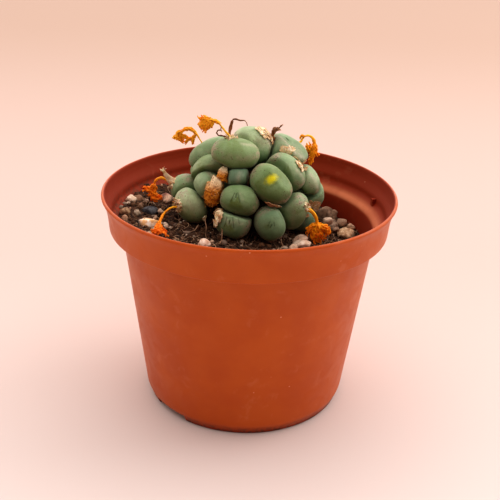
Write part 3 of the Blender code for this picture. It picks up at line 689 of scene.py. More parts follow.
def head_shader():
    """Waxy grey-green skin: pale waxy coat laid on with painted light on upward faces, painted shade
    underneath and where heads press, pale keels partly painted highlight, a dark fissure groove as painted
    shade, pinkish ends with dark dots, olive windows.
    """
    skin = Shader("head_skin", 0.55, 0.3)
    skin.let("Sheen Weight", 0.15)
    skin.let("Sheen Roughness", 0.5)
    skin.let("Sheen Tint", linear(235, 230, 210))
    skin.base(skin.patches(4.5, 3.0, 0.35, 0.65, distortion=0.4), (92, 132, 84), (116, 152, 106))
    skin.lay(skin.mark("olive", 0.8), (112, 132, 62))
    skin.lay(skin.mark("blue", 0.7), (92, 122, 110))
    # Waxy coat with painted light: paler on faces that look up
    skin.lay(skin.mark("bloom", skin.patches(2.2, 5.0, 0.25, 0.7, 0.55)), (190, 209, 168))
    # Painted shade: darker green on the undersides and where the heads press together
    skin.lay(skin.mark("deep"), (76, 98, 60))
    clear = skin.patches(0.7, 5.0, 0.25, 0.7, 0.4, distortion=1.0)
    skin.lay(skin.times(skin.mark("window", clear), 0.8), (96, 114, 34))
    # Pale keels, partly their own colour and partly painted highlight along the ridge edges
    skin.lay(skin.mark("keel_and_ridge_highlight", skin.patches(1.0, 5.0, 0.3, 0.65, 0.4)), (206, 196, 176))
    pink = skin.patches(1.5, 5.0, 0.34, 0.66, distortion=0.6)
    skin.lay(skin.times(skin.mark("margin", pink), 0.75), (170, 146, 130))
    skin.lay(skin.mark("yellow"), (212, 206, 2))
    grain = skin.mix(skin.noise(0.35, 4.0), linear(40, 40, 40), linear(220, 220, 220))
    skin.tone = skin.mix(0.25, skin.tone, grain, "OVERLAY")
    where = skin.times(skin.band(skin.mark("margin"), 0.1, 0.6, 0.16), skin.patches(1.1, 3.0, 0.42, 0.54))
    where = skin.math("MAXIMUM", where, skin.mark("dotted"))
    skin.lay(skin.times(skin.dots(0.7, 0.34, 0.2), skin.times(where, 0.85)), (84, 50, 48))
    # Dark veins, and painted shade in the fissure's groove
    skin.lay(skin.math("MAXIMUM", skin.mark("slit"), skin.mark("vein")), (44, 54, 26))
    skin.let("Roughness", skin.patches(1.2, 3.0, 0.3, 0.7, 0.48, 0.64))
    skin.bump(skin.noise(0.5, 4.0), 0.07, 0.7)
    skin.glow(0.1, 1.0, (0.8, 1.0, 0.4))
    return skin


def fan_window(points, head, tip, end, half_width, teeth):
    """Strength of a window that fans out from its tip, with a toothed edge."""
    tip, end = head.spot(tip), head.spot(end)
    down = unit(end - tip)
    middle = unit((tip + end) / 2 - head.centre)
    across = unit(np.cross(middle, down))
    length = np.linalg.norm(end - tip)
    u = (points - tip) @ down / length
    v = (points - tip) @ across
    wave = 0.5 + 0.5 * np.cos(teeth * v / half_width + 1.3)
    inside = smooth(u, -0.1 + 0.42 * wave, 0.12 + 0.5 * wave) * (1 - smooth(u, 0.7, 1.35))
    width = half_width * np.clip(0.45 + 0.7 * u, 0.2, 1.1)
    near = np.linalg.norm(points - (tip + end) / 2, axis=1) < 2.2 * length
    return inside * (1 - smooth(np.abs(v) / width, 0.6, 1.15)) * near


def fissure_of(number, head):
    """Upper and lower end of a head's fissure, its depth and the height of its lips."""
    if number in FISSURES:
        upper, lower, depth, lips = FISSURES[number]
        return head.spot(upper), head.spot(lower), depth, lips
    draw = random.Random(number)
    reach = head.short * draw.uniform(0.7, 1.1)
    middle = head.centre + head.axis * 6
    depth, lips = 0.02, 0.02
    if number > len(HEADS):
        depth, lips = draw.uniform(0.2, 0.35), draw.uniform(0.08, 0.14)
    return head.spot(middle + reach), head.spot(middle - reach), depth, lips


def make_head(number, head, shader):
    upper, lower, depth, lips = fissure_of(number, head)
    middle = (upper + lower) / 2
    top = unit(middle - head.centre)
    slit = square_to(top, lower - upper)
    across = np.cross(top, slit)
    half = np.linalg.norm(lower - upper) / 2
    ways = ways_round(top, slit, across, HEAD_POLAR, HEAD_SIDES)
    skin = head.skin(ways)
    points = head.centre + ways * skin[:, None]
    u = (points - middle) @ slit
    v = (points - middle) @ across
    near = smooth(ways @ top, 0.2, 0.7)
    groove = np.exp(-(v / GROOVE_WIDTH) ** 2) * (1 - smooth(np.abs(u) / half, 0.6, 1.2)) * near
    ridge = np.exp(-((np.abs(v) - LIP_DISTANCE) / LIP_WIDTH) ** 2)
    ridge = ridge * (1 - smooth(np.abs(u) / half, 0.5, 1.7)) * near
    lengths = skin - depth * groove + lips * ridge
    for height, size in SKIN_RELIEF:
        lengths += height * rough(points, size, 2, number)
    places = (points - head.centre) @ np.stack([head.long, head.short, head.axis], axis=1)
    ends = smooth(np.abs(places[:, 0]) / head.size[0], 0.66, 0.98)
    high = places[:, 2] / head.size[2]
    rim = smooth(np.linalg.norm(places[:, :2] / head.size[:2], axis=1), 0.8, 1.0)
    margin = np.clip(ends * smooth(high, -0.6, 0.2) + 0.4 * rim * smooth(high, -0.1, 0.4), 0, 1)
    olive, blue, pale = TINTS.get(number, BACK_TINT)
    up = ways[:, 2]
    # Painted light: the waxy coat is laid on paler the more a face looks up, a little less at the very top
    sky = smooth(up, -0.7, 0.8) * (1 - 0.55 * smooth(up, 0.45, 1.0))
    pressed = smooth(head.body(ways) - skin, 0.2, 1.4)
    # Painted shade: darker on faces that look down and where the skin is pressed flat against a neighbour
    deep = np.clip(0.5 * (1 - smooth(up, -0.8, 0.0)) + 0.3 * pressed, 0, 0.8)
    nothing = np.zeros(len(ways))
    marks = dict.fromkeys(("yellow", "window", "keel_and_ridge_highlight", "dotted", "vein"), nothing)
    marks.update(margin=margin, deep=deep, bloom=pale * sky, olive=nothing + olive, blue=nothing + blue)
    # Painted shade: the groove of a deep fissure is coloured dark
    marks["slit"] = 0.7 * groove if depth > 0.1 else nothing
    for place, (owner, tip, end, half_width, strength) in enumerate(WINDOWS):
        if owner == number:
            fan = strength * fan_window(points, head, tip, end, half_width, 7.0 + place % 3)
            marks["window"] = np.maximum(marks["window"], fan)
    if number > len(HEADS):
        marks["window"] = 0.4 * np.exp(-(v / 1.1) ** 2 - (u / 2.2) ** 2) * near
    for owner, kind, route, width, strength in LINES:
        if owner == number:
            route = curve_through([head.spot(point) for point in route], 6)
            far = np.linalg.norm(points[:, None] - route[None], axis=2).min(axis=1)
            marks[kind] = np.maximum(marks[kind], strength * np.exp(-(far / width) ** 2))
    if number == YELLOW_SPOT[0]:
        away = points - head.spot(YELLOW_SPOT[1])
        slant = square_to(top, (0.8, 0.0, 0.6))
        far = np.hypot(away @ slant / 1.7, away @ np.cross(top, slant)) / YELLOW_SPOT[2]
        far = far + 0.25 * rough(points, 0.9, 2, 3.0)
        marks["yellow"] = 1 - smooth(far, 0.3, 1.5)
        marks["window"] = np.maximum(marks["window"], 0.9 * (1 - smooth(far, 1.0, 2.6)))
        lengths -= 0.12 * marks["yellow"]
    marks["window"] = marks["window"] * (1 - 0.5 * deep)
    points = head.centre + ways * lengths[:, None]
    faces = skin_faces(len(HEAD_POLAR), HEAD_SIDES)
    piece = new_piece(f"fine_head_{number:02d}", points, faces, shader, marks)
    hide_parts(f"head_{number:02d}")


# Pot


def body_radius(height):
    return BODY_BASE + (BODY_TOP - BODY_BASE) * height / (POT_HEIGHT - COLLAR_DEPTH)


def rounded(profile, radius, steps=4):
    """Profile with each inner corner replaced by a small curve."""
    points = [profile[0]]
    for before, here, after in zip(profile, profile[1:], profile[2:]):
        before, here, after = (np.array(point, float) for point in (before, here, after))
        start = here + unit(before - here) * min(radius, 0.45 * np.linalg.norm(before - here))
        end = here + unit(after - here) * min(radius, 0.45 * np.linalg.norm(after - here))
        for step in range(steps + 1):
            share = step / steps
            points.append(tuple((1 - share) ** 2 * start + 2 * share * (1 - share) * here + share ** 2 * end))
    points.append(profile[-1])
    return points


def turned(name, profile, sides, centre=(0.0, 0.0)):
    """Plain solid of revolution in millimetres, for the pot and its cutters."""
    points = [(*centre, profile[0][1])]
    for radius, height in profile[1:-1]:
        points += ring_of(radius, height, sides, centre)
    points.append((*centre, profile[-1][1]))
    return solid(name, points, skin_faces(len(profile) - 2, sides))


def block(name, low, high, turn):
    """Plain box turned about Z."""
    corners = [(x, y, z) for z in (low[2], high[2]) for y in (low[1], high[1]) for x in (low[0], high[0])]
    turning = Matrix.Rotation(math.radians(turn), 4, "Z")
    faces = [(0, 2, 3, 1), (4, 5, 7, 6), (0, 1, 5, 4), (2, 6, 7, 3), (0, 4, 6, 2), (1, 3, 7, 5)]
    return solid(name, [turning @ Vector(corner) for corner in corners], faces)


def combine(piece, others, operation):
    """Apply one exact Boolean of the piece with other solids, then remove those."""
    group = bpy.data.collections.new("operands")
    bpy.context.scene.collection.children.link(group)
    for other in others:
        bpy.context.collection.objects.unlink(other)
        group.objects.link(other)
    change = piece.modifiers.new("combine", "BOOLEAN")
    change.operation = operation
    change.operand_type = "COLLECTION"
    change.collection = group
    change.solver = "EXACT"
    result = bpy.data.meshes.new_from_object(piece.evaluated_get(bpy.context.evaluated_depsgraph_get()))
    piece.modifiers.remove(change)
    piece.data = result
    for other in others:
        bpy.data.objects.remove(other)
    bpy.data.collections.remove(group)


def pot_profile():
    step = POT_HEIGHT - COLLAR_DEPTH
    neck = POT_HEIGHT - FLARE
    outside = rounded([
        (0.0, UNDERSIDE),
        (FOOT_RADIUS - FOOT_WIDTH, UNDERSIDE),
        (FOOT_RADIUS - FOOT_WIDTH, 0.0),
        (FOOT_RADIUS, 0.0),
        (body_radius(FOOT_CHAMFER), FOOT_CHAMFER),
        (body_radius(step), step),
        (COLLAR_FOOT, step),
        (COLLAR_TOP - 0.44, neck - 4.4),
    ], 0.5)[:-1]
    inner_rim = RIM_RADIUS - RIM_THICKNESS
    lip = curve_through([
        (COLLAR_TOP - 0.42, neck - 4.2),
        (COLLAR_TOP - 0.2, neck - 2.2),
        (COLLAR_TOP + 0.12, neck - 0.4),
        (COLLAR_TOP + 0.56, neck + 1.2),
        (RIM_RADIUS - 0.36, POT_HEIGHT - 1.4),
        (RIM_RADIUS, POT_HEIGHT - 0.55),
        (RIM_RADIUS - 0.4, POT_HEIGHT),
        (inner_rim + 0.1, POT_HEIGHT - 0.1),
        (inner_rim - 0.1, POT_HEIGHT - 0.5),
        (inner_rim - 0.25, POT_HEIGHT - 1.6),
        (inner_rim - 0.6, neck + 0.7),
    ], 4)
    inside = rounded([
        (COLLAR_TOP - WALL + 0.3, neck - 0.5),
        (COLLAR_FOOT - WALL + 0.15, LEDGE + LEDGE_SLOPE + 2.0),
        (COLLAR_FOOT - WALL, LEDGE + LEDGE_SLOPE),
        (BODY_TOP - WALL + 0.4, LEDGE),
        (BODY_TOP - WALL - 0.1, LEDGE - 1.2),
        (body_radius(FLOOR) - WALL, FLOOR),
        (0.0, FLOOR),
    ], 1.2)
    return outside + [tuple(point) for point in lip] + inside


def pot_shader():
    """Terracotta-coloured plastic with dust specks, scuffs and a faint mottle; the inside is coloured darker
    and redder as painted shade.
    """
    pot = Shader("pot_plastic", 0.42, 0.48)
    pot.let("Specular Tint", linear(255, 226, 198))
    pot.base(pot.patches(11.0, 3.0, 0.3, 0.7), (176, 72, 8), (184, 81, 14))
    # Painted shade: the inside of the pot is coloured darker and redder than the outside
    pot.lay(pot.mark("inner"), (136, 36, 0))
    dust = pot.times(pot.patches(3.5, 6.0, 0.55, 0.75, 0.0, 0.14, 0.5), pot.patches(14.0, 3.0, 0.45, 0.65))
    pot.lay(dust, (214, 140, 110))
    specks = pot.times(pot.dots(4.2, 0.07, 0.035), pot.patches(5.0, 1.0, 0.52, 0.6))
    fine = pot.times(pot.dots(1.9, 0.07, 0.035), pot.patches(7.0, 2.0, 0.58, 0.68))
    pot.lay(pot.times(pot.math("MAXIMUM", specks, fine), 0.55), (226, 166, 134))
    pot.lay(pot.mark("ledge", pot.patches(5.0, 2.0, 0.3, 0.7, 0.55, 0.75)), (214, 132, 92))
    pot.lay(pot.mark("soiled", pot.patches(1.2, 5.0, 0.42, 0.62)), (92, 42, 24))
    dull = pot.patches(6.0, 4.0, 0.35, 0.7, 0.4, 0.5, 0.8)
    pot.let("Roughness", pot.math("MAXIMUM", dull, pot.mark("inner", 0.7)))
    pot.bump(pot.noise(0.45, 2.0), 0.012, 0.4)
    return pot


def make_pot():
    pot = turned("fine_pot", pot_profile(), POT_SIDES)
    outer = COLLAR_FOOT - WALL + 0.5
    low = (outer - LUG_SIZE[0], -LUG_SIZE[1] / 2, LEDGE - 0.4)
    high = (outer, LUG_SIZE[1] / 2, LEDGE + LUG_SIZE[2])
    combine(pot, [block("lug", low, high, turn) for turn in LUG_TURNS], "UNION")
    half_width = FOOT_RADIUS * math.sin(math.radians(NOTCH_ARC / 2))
    low = (FOOT_RADIUS - 5, -half_width, -5)
    high = (FOOT_RADIUS + 5, half_width, NOTCH_HEIGHT)
    cutters = [block("notch", low, high, turn) for turn in NOTCH_TURNS]
    drains = [polar(DRAIN_RING, math.tau * (step + 0.5) / DRAIN_COUNT) for step in range(DRAIN_COUNT)]
    shaft = ((0.0, -3.0), (DRAIN_RADIUS, -3.0), (DRAIN_RADIUS, 8.0), (0.0, 8.0))
    cutters += [turned("drain", shaft, 32, centre) for centre in [(0.0, 0.0)] + drains]
    combine(pot, cutters, "DIFFERENCE")
    mesh = pot.data
    x, y, z = np.array([vertex.co for vertex in mesh.vertices]).T / MM
    between = np.interp(z, *zip(*WALL_MIDDLE))
    inner = np.hypot(x, y) < np.where(z > LEDGE - 0.5, between, body_radius(z) - 0.4)
    near = 1 - smooth(z - soil_height(x, y), *SOILED)
    shelf = smooth(z, LEDGE - 1.2, LEDGE) * (1 - smooth(z, LEDGE + 0.5, LEDGE + 2.0)) * smooth(x, *WORN_LEDGE)
    set_marks(mesh, {"inner": inner, "soiled": inner * near, "ledge": inner * shelf})
    mesh.shade_smooth()
    mesh.set_sharp_from_angle(angle=math.radians(SHARP_DEGREES))
    mesh.materials.clear()
    mesh.materials.append(pot_shader().material)
    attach(pot, "root")
    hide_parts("pot")


# Soil


def soil_height(x, y):
    """Height of the CAD's soil."""
    bumps = np.sin(0.31 * x + 1.0) * np.cos(0.27 * y - 0.4) + 0.6 * np.sin(0.55 * y + 0.2 * x)
    return SOIL_LEVEL - SOIL_TILT * x + SOIL_BUMP * bumps / 1.6


def heaped(turn):
    """How much soil lies on the ledge in this direction, 0 to 1."""
    off = abs((math.degrees(turn) - HEAP_WAY + 180) % 360 - 180)
    return float(1 - smooth(off, *HEAP_SPREAD))


def soil_surface(x, y):
    """Height of the dressed soil, which also covers the ledge on the left."""
    radius = math.hypot(x, y)
    cover = heaped(math.atan2(y, x))
    height = float(soil_height(x, y))
    lump = noise.fractal(Vector((x, y, 0)) / LUMP_SIZE, 1.0, 2.0, 3)
    crumble = noise.fractal(Vector((x, y, 9)) / CRUMBLE_SIZE, 1.0, 2.0, 3)
    over = LEDGE + HEAP_HEIGHT - height + 0.3 * lump
    climb = cover * float(smooth(radius, *HEAP_FOOT))
    return height + LUMP_HEIGHT * lump + CRUMBLE_HEIGHT * crumble + climb * over


def soil_shader():
    """Dark fibrous peat with brown crumbs and pale grains."""
    peat = Shader("soil_peat", 0.92, 0.25)
    peat.base(peat.patches(1.6, 6.0, 0.34, 0.66, distortion=0.8), (36, 24, 18), (84, 58, 42))
    peat.lay(peat.patches(0.5, 4.0, 0.58, 0.74), (122, 92, 70))
    peat.lay(peat.dots(1.9, 0.13, 0.07, 0.8), (168, 146, 126))
    peat.lay(peat.mark("pale"), (134, 100, 72))
    peat.bump(peat.noise(0.7, 6.0, 0.5), 0.5, 0.9)
    return peat


def make_soil(shader):
    """Surface as rings from the middle out, a ring below its edge, and the plain lower body."""
    points = [(0.0, 0.0, soil_surface(0.0, 0.0))]
    below = []
    for ring in range(1, SOIL_RINGS + 1):
        for step in range(SOIL_SIDES):
            turn = math.tau * step / SOIL_SIDES
            wall = body_radius(float(soil_height(*polar(38, turn)))) - WALL - 0.1
            edge = wall + heaped(turn) * (COLLAR_FOOT - WALL - 0.25 - wall)
            x, y = polar(edge * ring / SOIL_RINGS, turn)
            points.append((x, y, soil_surface(x, y)))
            if ring == SOIL_RINGS:
                below.append((*polar(wall - 0.05, turn), min(points[-1][2], LEDGE) - 0.3))
    points += below
    top, foot = BODY_TOP - WALL - GAP - 1.4, body_radius(FLOOR) - WALL - GAP
    for radius, height in ((top, 51.0), (foot, FLOOR + 0.9), (foot - 0.6, FLOOR + GAP)):
        points += ring_of(radius, height, SOIL_SIDES)
    points.append((0.0, 0.0, FLOOR + GAP))
    faces = skin_faces(SOIL_RINGS + 4, SOIL_SIDES)
    piece = new_piece("fine_soil", points, faces, shader, {})
    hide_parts("soil")


def bare_spots(count, draw, blobs, margin):
    """Random places on the soil that lie clear of the given blobs."""
    spots = []
    while len(spots) < count:
        turn = draw.uniform(0, math.tau)
        limit = OPEN_SOIL + heaped(turn) * LEDGE_REACH
        x, y = polar(limit * math.sqrt(draw.random()), turn)
        point = np.array([x, y, soil_surface(x, y)])
        if all(outside(point, blob, margin) for blob in blobs):
            spots.append(point)
    return spots


def outside(point, blob, margin):
    offset = point - blob.centre
    distance = np.linalg.norm(offset)
    if distance > 11 + margin:
        return True
    return distance > float(blob.skin(offset / distance)) + margin


def make_crumbs(shader, blobs):
    """Lumps of peat of many sizes over the whole surface."""
    draw = random.Random(41)
    heap = Heap()
    for place in bare_spots(CRUMB_COUNT, draw, blobs, 0.3):
        size = 0.3 + 0.9 * draw.random() ** 2.2
        half_size = (size * draw.uniform(0.8, 1.5), size, size * draw.uniform(0.6, 1.0))
        points, faces = stone(half_size, draw, 1, 4, 8.0)
        points = turned_about(points, draw)
        points *= 1 + 0.22 * np.array([[draw.uniform(-1, 1)] for _ in points])
        heap.add(points + place + UP * size * 0.25, faces, pale=draw.random() ** 3 * 0.8)
    heap.piece("soil_crumbs", shader, "soil_peat")


def make_fibres(shader, blobs):
    """Rootlets and peat fibres, mostly flat on the soil."""
    draw = random.Random(43)
    heap = Heap()
    for place in bare_spots(FIBRE_COUNT, draw, blobs, 0.5):
        way = unit([draw.gauss(0, 1), draw.gauss(0, 1), draw.uniform(-0.1, 0.35)])
        bend = np.array([draw.gauss(0, size) for size in (0.35, 0.35, 0.16)])
        joint = draw.uniform(0.35, 0.85)
        route = [place + UP * 0.1]
        for _ in range(8):
            way = unit(way + bend + scatter(draw, 0.2))
            point = route[-1] + way * joint
            if math.hypot(point[0], point[1]) > OPEN_SOIL + 0.4:
                break
            low = soil_surface(point[0], point[1]) + 0.05
            point[2] = min(max(point[2], low), low + 1.1)
            route.append(point)
        if len(route) > 3:
            radii = draw.uniform(0.06, 0.15) * np.linspace(1, 0.5, len(route))
            heap.add(*tube(route, radii, 4), pale=draw.uniform(0.1, 1.0))
    heap.piece("soil_fibres", shader, "soil_peat")


def fibre_shader():
    thread = Shader("soil_fibre", 0.85, 0.3)
    thread.base(thread.mark("pale"), (96, 66, 46), (210, 176, 142))
    thread.lay(thread.patches(1.2, 3.0, 0.4, 0.7, 0.0, 0.5), (52, 34, 24))
    return thread


def make_grit(shader, blobs):
    """Small pale, grey and brown grains between the lumps."""
    draw = random.Random(47)
    heap = Heap()
    for place in bare_spots(GRIT_COUNT, draw, blobs, 0.5):
        size = 0.35 + 0.8 * draw.random() ** 2
        points, faces = stone((size * draw.uniform(1.0, 1.5), size, size * 0.7), draw, 2, 7, 12.0)
        heap.add(turned_about(points, draw, 0.5) + place + UP * size * 0.3, faces, pale=draw.random())
    heap.piece("soil_grit", shader, "pebble_stone")


def grit_shader():
    grit = Shader("soil_grit", 0.8, 0.4)
    grit.base(grit.band(grit.mark("pale"), 0.2, 0.9), (96, 78, 66), (204, 186, 166))
    grit.lay(grit.patches(0.5, 4.0, 0.45, 0.7, 0.0, 0.6), (120, 94, 74))
    grit.bump(grit.noise(0.3, 4.0), 0.12, 0.6)
    return grit


# Pebbles: x, y, half length, half wide, half high, turn of the long side, then two colours
PEBBLES = (
    (-38.0, 10.2, 1.9, 1.6, 1.4, 40, (246, 230, 208), (214, 190, 164)),
    (-38.4, -0.4, 2.1, 1.6, 1.3, 80, (176, 146, 112), (120, 92, 66)),
    (-31.0, -2.6, 4.6, 2.8, 2.0, -20, (255, 246, 232), (232, 184, 126)),
    (-31.2, 6.9, 2.9, 2.1, 1.5, 10, (92, 96, 102), (58, 60, 66)),
    (-35.2, 3.0, 1.7, 1.3, 1.2, 60, (174, 158, 138), (122, 106, 88)),
    (-30.4, -12.4, 2.0, 1.5, 1.2, 20, (226, 200, 172), (180, 144, 112)),
    (-27.6, 20.0, 2.8, 2.3, 1.7, 30, (190, 150, 132), (142, 104, 90)),
    (-13.2, -13.0, 2.2, 1.8, 1.5, 0, (240, 220, 202), (200, 160, 136)),
    (16.6, -4.4, 3.4, 2.2, 1.5, -8, (242, 222, 202), (208, 178, 152)),
    (26.8, 13.6, 3.6, 2.2, 2.3, 70, (164, 142, 122), (104, 84, 68)),
    (31.4, 8.6, 3.1, 2.6, 2.2, 20, (226, 198, 162), (176, 138, 104)),
    (25.0, 21.0, 4.2, 3.2, 3.4, -30, (150, 122, 98), (100, 78, 60)),
    (7.0, -27.0, 3.2, 2.4, 1.8, 35, (212, 190, 164), (166, 140, 114)),
    (-11.0, -28.5, 2.6, 2.2, 1.6, 75, (152, 146, 138), (104, 98, 92)),
)
PEBBLE_SHOWING = 0.25


# Loose stones that the CAD leaves out: x, y, height, size, shade from dark to pale, warmth
LOOSE_STONES = (
    (-35.9, 13.6, 58.2, 2.5, 0.12, 0.6), (-33.4, 12.2, 58.0, 1.5, 0.5, 0.2),
    (-27.8, 5.8, 57.2, 2.0, 0.55, 0.4), (-25.4, -4.4, 56.8, 1.2, 0.95, 0.1),
    (-29.6, -12.0, 57.4, 1.3, 0.9, 0.8), (-37.8, -3.9, 58.4, 2.2, 0.3, 0.8),
    (-29.2, 0.7, 57.3, 1.3, 0.4, 0.5), (-34.6, 9.0, 58.0, 1.6, 0.2, 0.5),
    (-32.0, 17.4, 58.2, 2.2, 0.2, 0.6), (-34.8, 19.0, 58.6, 1.8, 0.15, 0.5),
    (-26.4, 17.2, 57.0, 2.4, 0.9, 0.7), (13.9, -8.8, 52.2, 2.2, 0.75, 0.7),
    (30.2, 14.8, 51.8, 2.6, 0.4, 0.5), (33.4, 12.6, 51.4, 1.6, 0.85, 0.9),
    (28.2, 20.0, 52.6, 2.4, 0.3, 0.5), (28.2, 9.6, 51.6, 1.8, 0.3, 0.5),
    (25.6, 10.4, 54.0, 2.3, 0.85, 0.3), (23.4, 8.8, 51.4, 1.6, 0.5, 0.5),
    (-14.8, -16.4, 54.8, 1.2, 0.5, 0.3), (22.0, -14.4, 51.2, 1.4, 0.5, 0.5),
    (-22.6, -20.4, 55.8, 1.6, 0.6, 0.6), (16.4, -24.6, 51.4, 1.9, 0.4, 0.5),
    (-2.6, -31.6, 53.4, 1.7, 0.7, 0.5), (27.6, -16.0, 50.4, 2.0, 0.5, 0.7),
    (16.2, -1.4, 52.4, 3.5, 0.95, 0.3),
)


def loose_shader():
    loose = Shader("loose_stones", 0.78, 0.35)
    loose.base(loose.mark("pale"), (88, 70, 56), (226, 206, 184))
    loose.lay(loose.mark("warm", 0.5), (196, 140, 96))
    loose.lay(loose.patches(1.0, 5.0, 0.45, 0.7, 0.0, 0.6, 0.5), (112, 86, 70))
    loose.bump(loose.noise(0.4, 6.0), 0.2, 0.8)
    return loose


def make_loose_stones(blobs):
    heap = Heap()
    for place, (x, y, z, size, pale, warm) in enumerate(LOOSE_STONES):
        draw = random.Random(600 + place)
        half_size = (size, size * draw.uniform(0.6, 0.85), size * draw.uniform(0.5, 0.8))
        points, faces = stone(half_size, draw, 3, 12, 30.0, 0.5)
        points = points * (1 + 0.05 * rough(points, 1.0, 3, place))[:, None]
        heap.add(turned_about(points, draw, 0.5) + np.array((x, y, z)), faces, pale=pale, warm=warm)
    draw = random.Random(640)
    for place in bare_spots(CHIP_COUNT, draw, blobs, 0.6):
        size = 0.3 + 0.8 * draw.random() ** 2
        points, faces = stone((size, size * draw.uniform(0.5, 0.9), size * 0.6), draw, 2, 9, 26.0, 0.5)
        points = turned_about(points, draw, 0.8) + place + UP * size * 0.2
        heap.add(points, faces, pale=0.8 * draw.random(), warm=draw.random())
    heap.piece("loose_stones", loose_shader(), "pebble_stone")


class Pebble:
    """Place and plain shape of a pebble, as in the CAD."""

    def __init__(self, x, y, half_long, half_wide, half_high, turn):
        self.size = np.array([half_long, half_wide, half_high])
        around = math.radians(turn)
        long, wide = (*polar(1, around), 0.0), (*polar(1, around + math.pi / 2), 0.0)
        self.frame = np.array([long, wide, (0.0, 0.0, 1.0)])
        on_ledge = math.hypot(x, y) + half_long > body_radius(SOIL_LEVEL) - WALL - GAP
        height = float(soil_height(x, y)) + PEBBLE_SHOWING * half_high
        if on_ledge:
            height = LEDGE + GAP + half_high
        self.centre = np.array([x, y, height])

    def skin(self, way):
        return 1 / np.sqrt((((way @ self.frame.T) / self.size) ** 2).sum(axis=-1))


def pebble_shader(number, light, dark):
    shader = Shader(f"pebble_{number:02d}_stone", 0.75, 0.4)
    shader.base(shader.patches(1.5, 5.0, 0.38, 0.62, distortion=0.6), light, dark)
    shader.lay(shader.dots(0.6, 0.2, 0.08, 0.45), (90, 66, 50))
    shader.lay(shader.mark("low", shader.patches(0.8, 5.0, 0.35, 0.6)), (62, 44, 32))
    shader.bump(shader.noise(0.45, 6.0), 0.22, 0.8)
    return shader


def make_pebble(number, pebble, light, dark):
    draw = random.Random(100 + number)
    points, faces = stone(pebble.size * 1.1, draw, 4, 10, 24.0, 0.62)
    points = points * (1 + 0.03 * rough(points, 1.2, 3, number))[:, None]
    low = 1 - smooth(points[:, 2] / pebble.size[2], -0.4, 0.5)
    shader = pebble_shader(number, light, dark)
    points = points @ pebble.frame + pebble.centre
    piece = new_piece(f"fine_pebble_{number:02d}", points, faces, shader, {"low": low})
    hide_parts(f"pebble_{number:02d}")


# Stalks of the dried flowers: kind, parent head, radius at the foot and at the tip, route
STALKS = (
    ('gold', 1, 0.36, 0.34, ((-6.4, 4.7, 82.6), (-7.0, 4.9, 83.6), (-7.9, 4.9, 84.6), (-8.9, 4.9, 85.9),
        (-9.8, 4.9, 86.9), (-10.8, 4.9, 87.6))),
    ('gold', 16, 0.3, 0.28, ((-15.6, 15.0, 77.6), (-16.4, 15.0, 78.8), (-17.0, 15.0, 79.9),
        (-17.4, 15.0, 80.6))),
    ('brown', 1, 0.5, 0.55, ((-6.7, 6.4, 82.8), (-6.7, 6.8, 84.0), (-6.5, 7.0, 85.2), (-6.2, 7.1, 86.6),
        (-6.0, 7.1, 87.4))),
    ('brown', 3, 0.6, 0.7, ((6.5, 13.2, 81.0), (6.8, 13.1, 82.3), (7.2, 13.0, 83.0), (8.0, 13.0, 83.3))),
    ('orange', 3, 0.25, 0.6, ((16.0, 19.0, 78.0), (16.6, 19.2, 79.2), (18.0, 19.2, 79.8),
        (19.3, 19.0, 79.3), (20.0, 18.9, 78.1), (20.4, 18.8, 76.6))),
    ('amber', 17, 0.4, 0.5, ((-25.0, 10.9, 65.0), (-27.6, 11.2, 66.6), (-29.0, 11.4, 66.5),
        (-30.2, 11.5, 65.5), (-30.8, 11.5, 63.6))),
    ('amber', 18, 0.4, 0.45, ((-23.4, -0.6, 61.6), (-24.6, -2.2, 61.6), (-25.9, -4.0, 60.8),
        (-26.7, -6.0, 59.8), (-27.0, -7.6, 58.9))),
    ('orange', 8, 0.6, 0.75, ((16.4, -0.7, 62.2), (17.6, -0.5, 62.4), (18.9, -0.5, 61.9),
        (20.0, -0.4, 60.8), (20.8, -0.3, 59.4), (21.2, -0.3, 57.8), (21.4, -0.3, 56.8))),
)
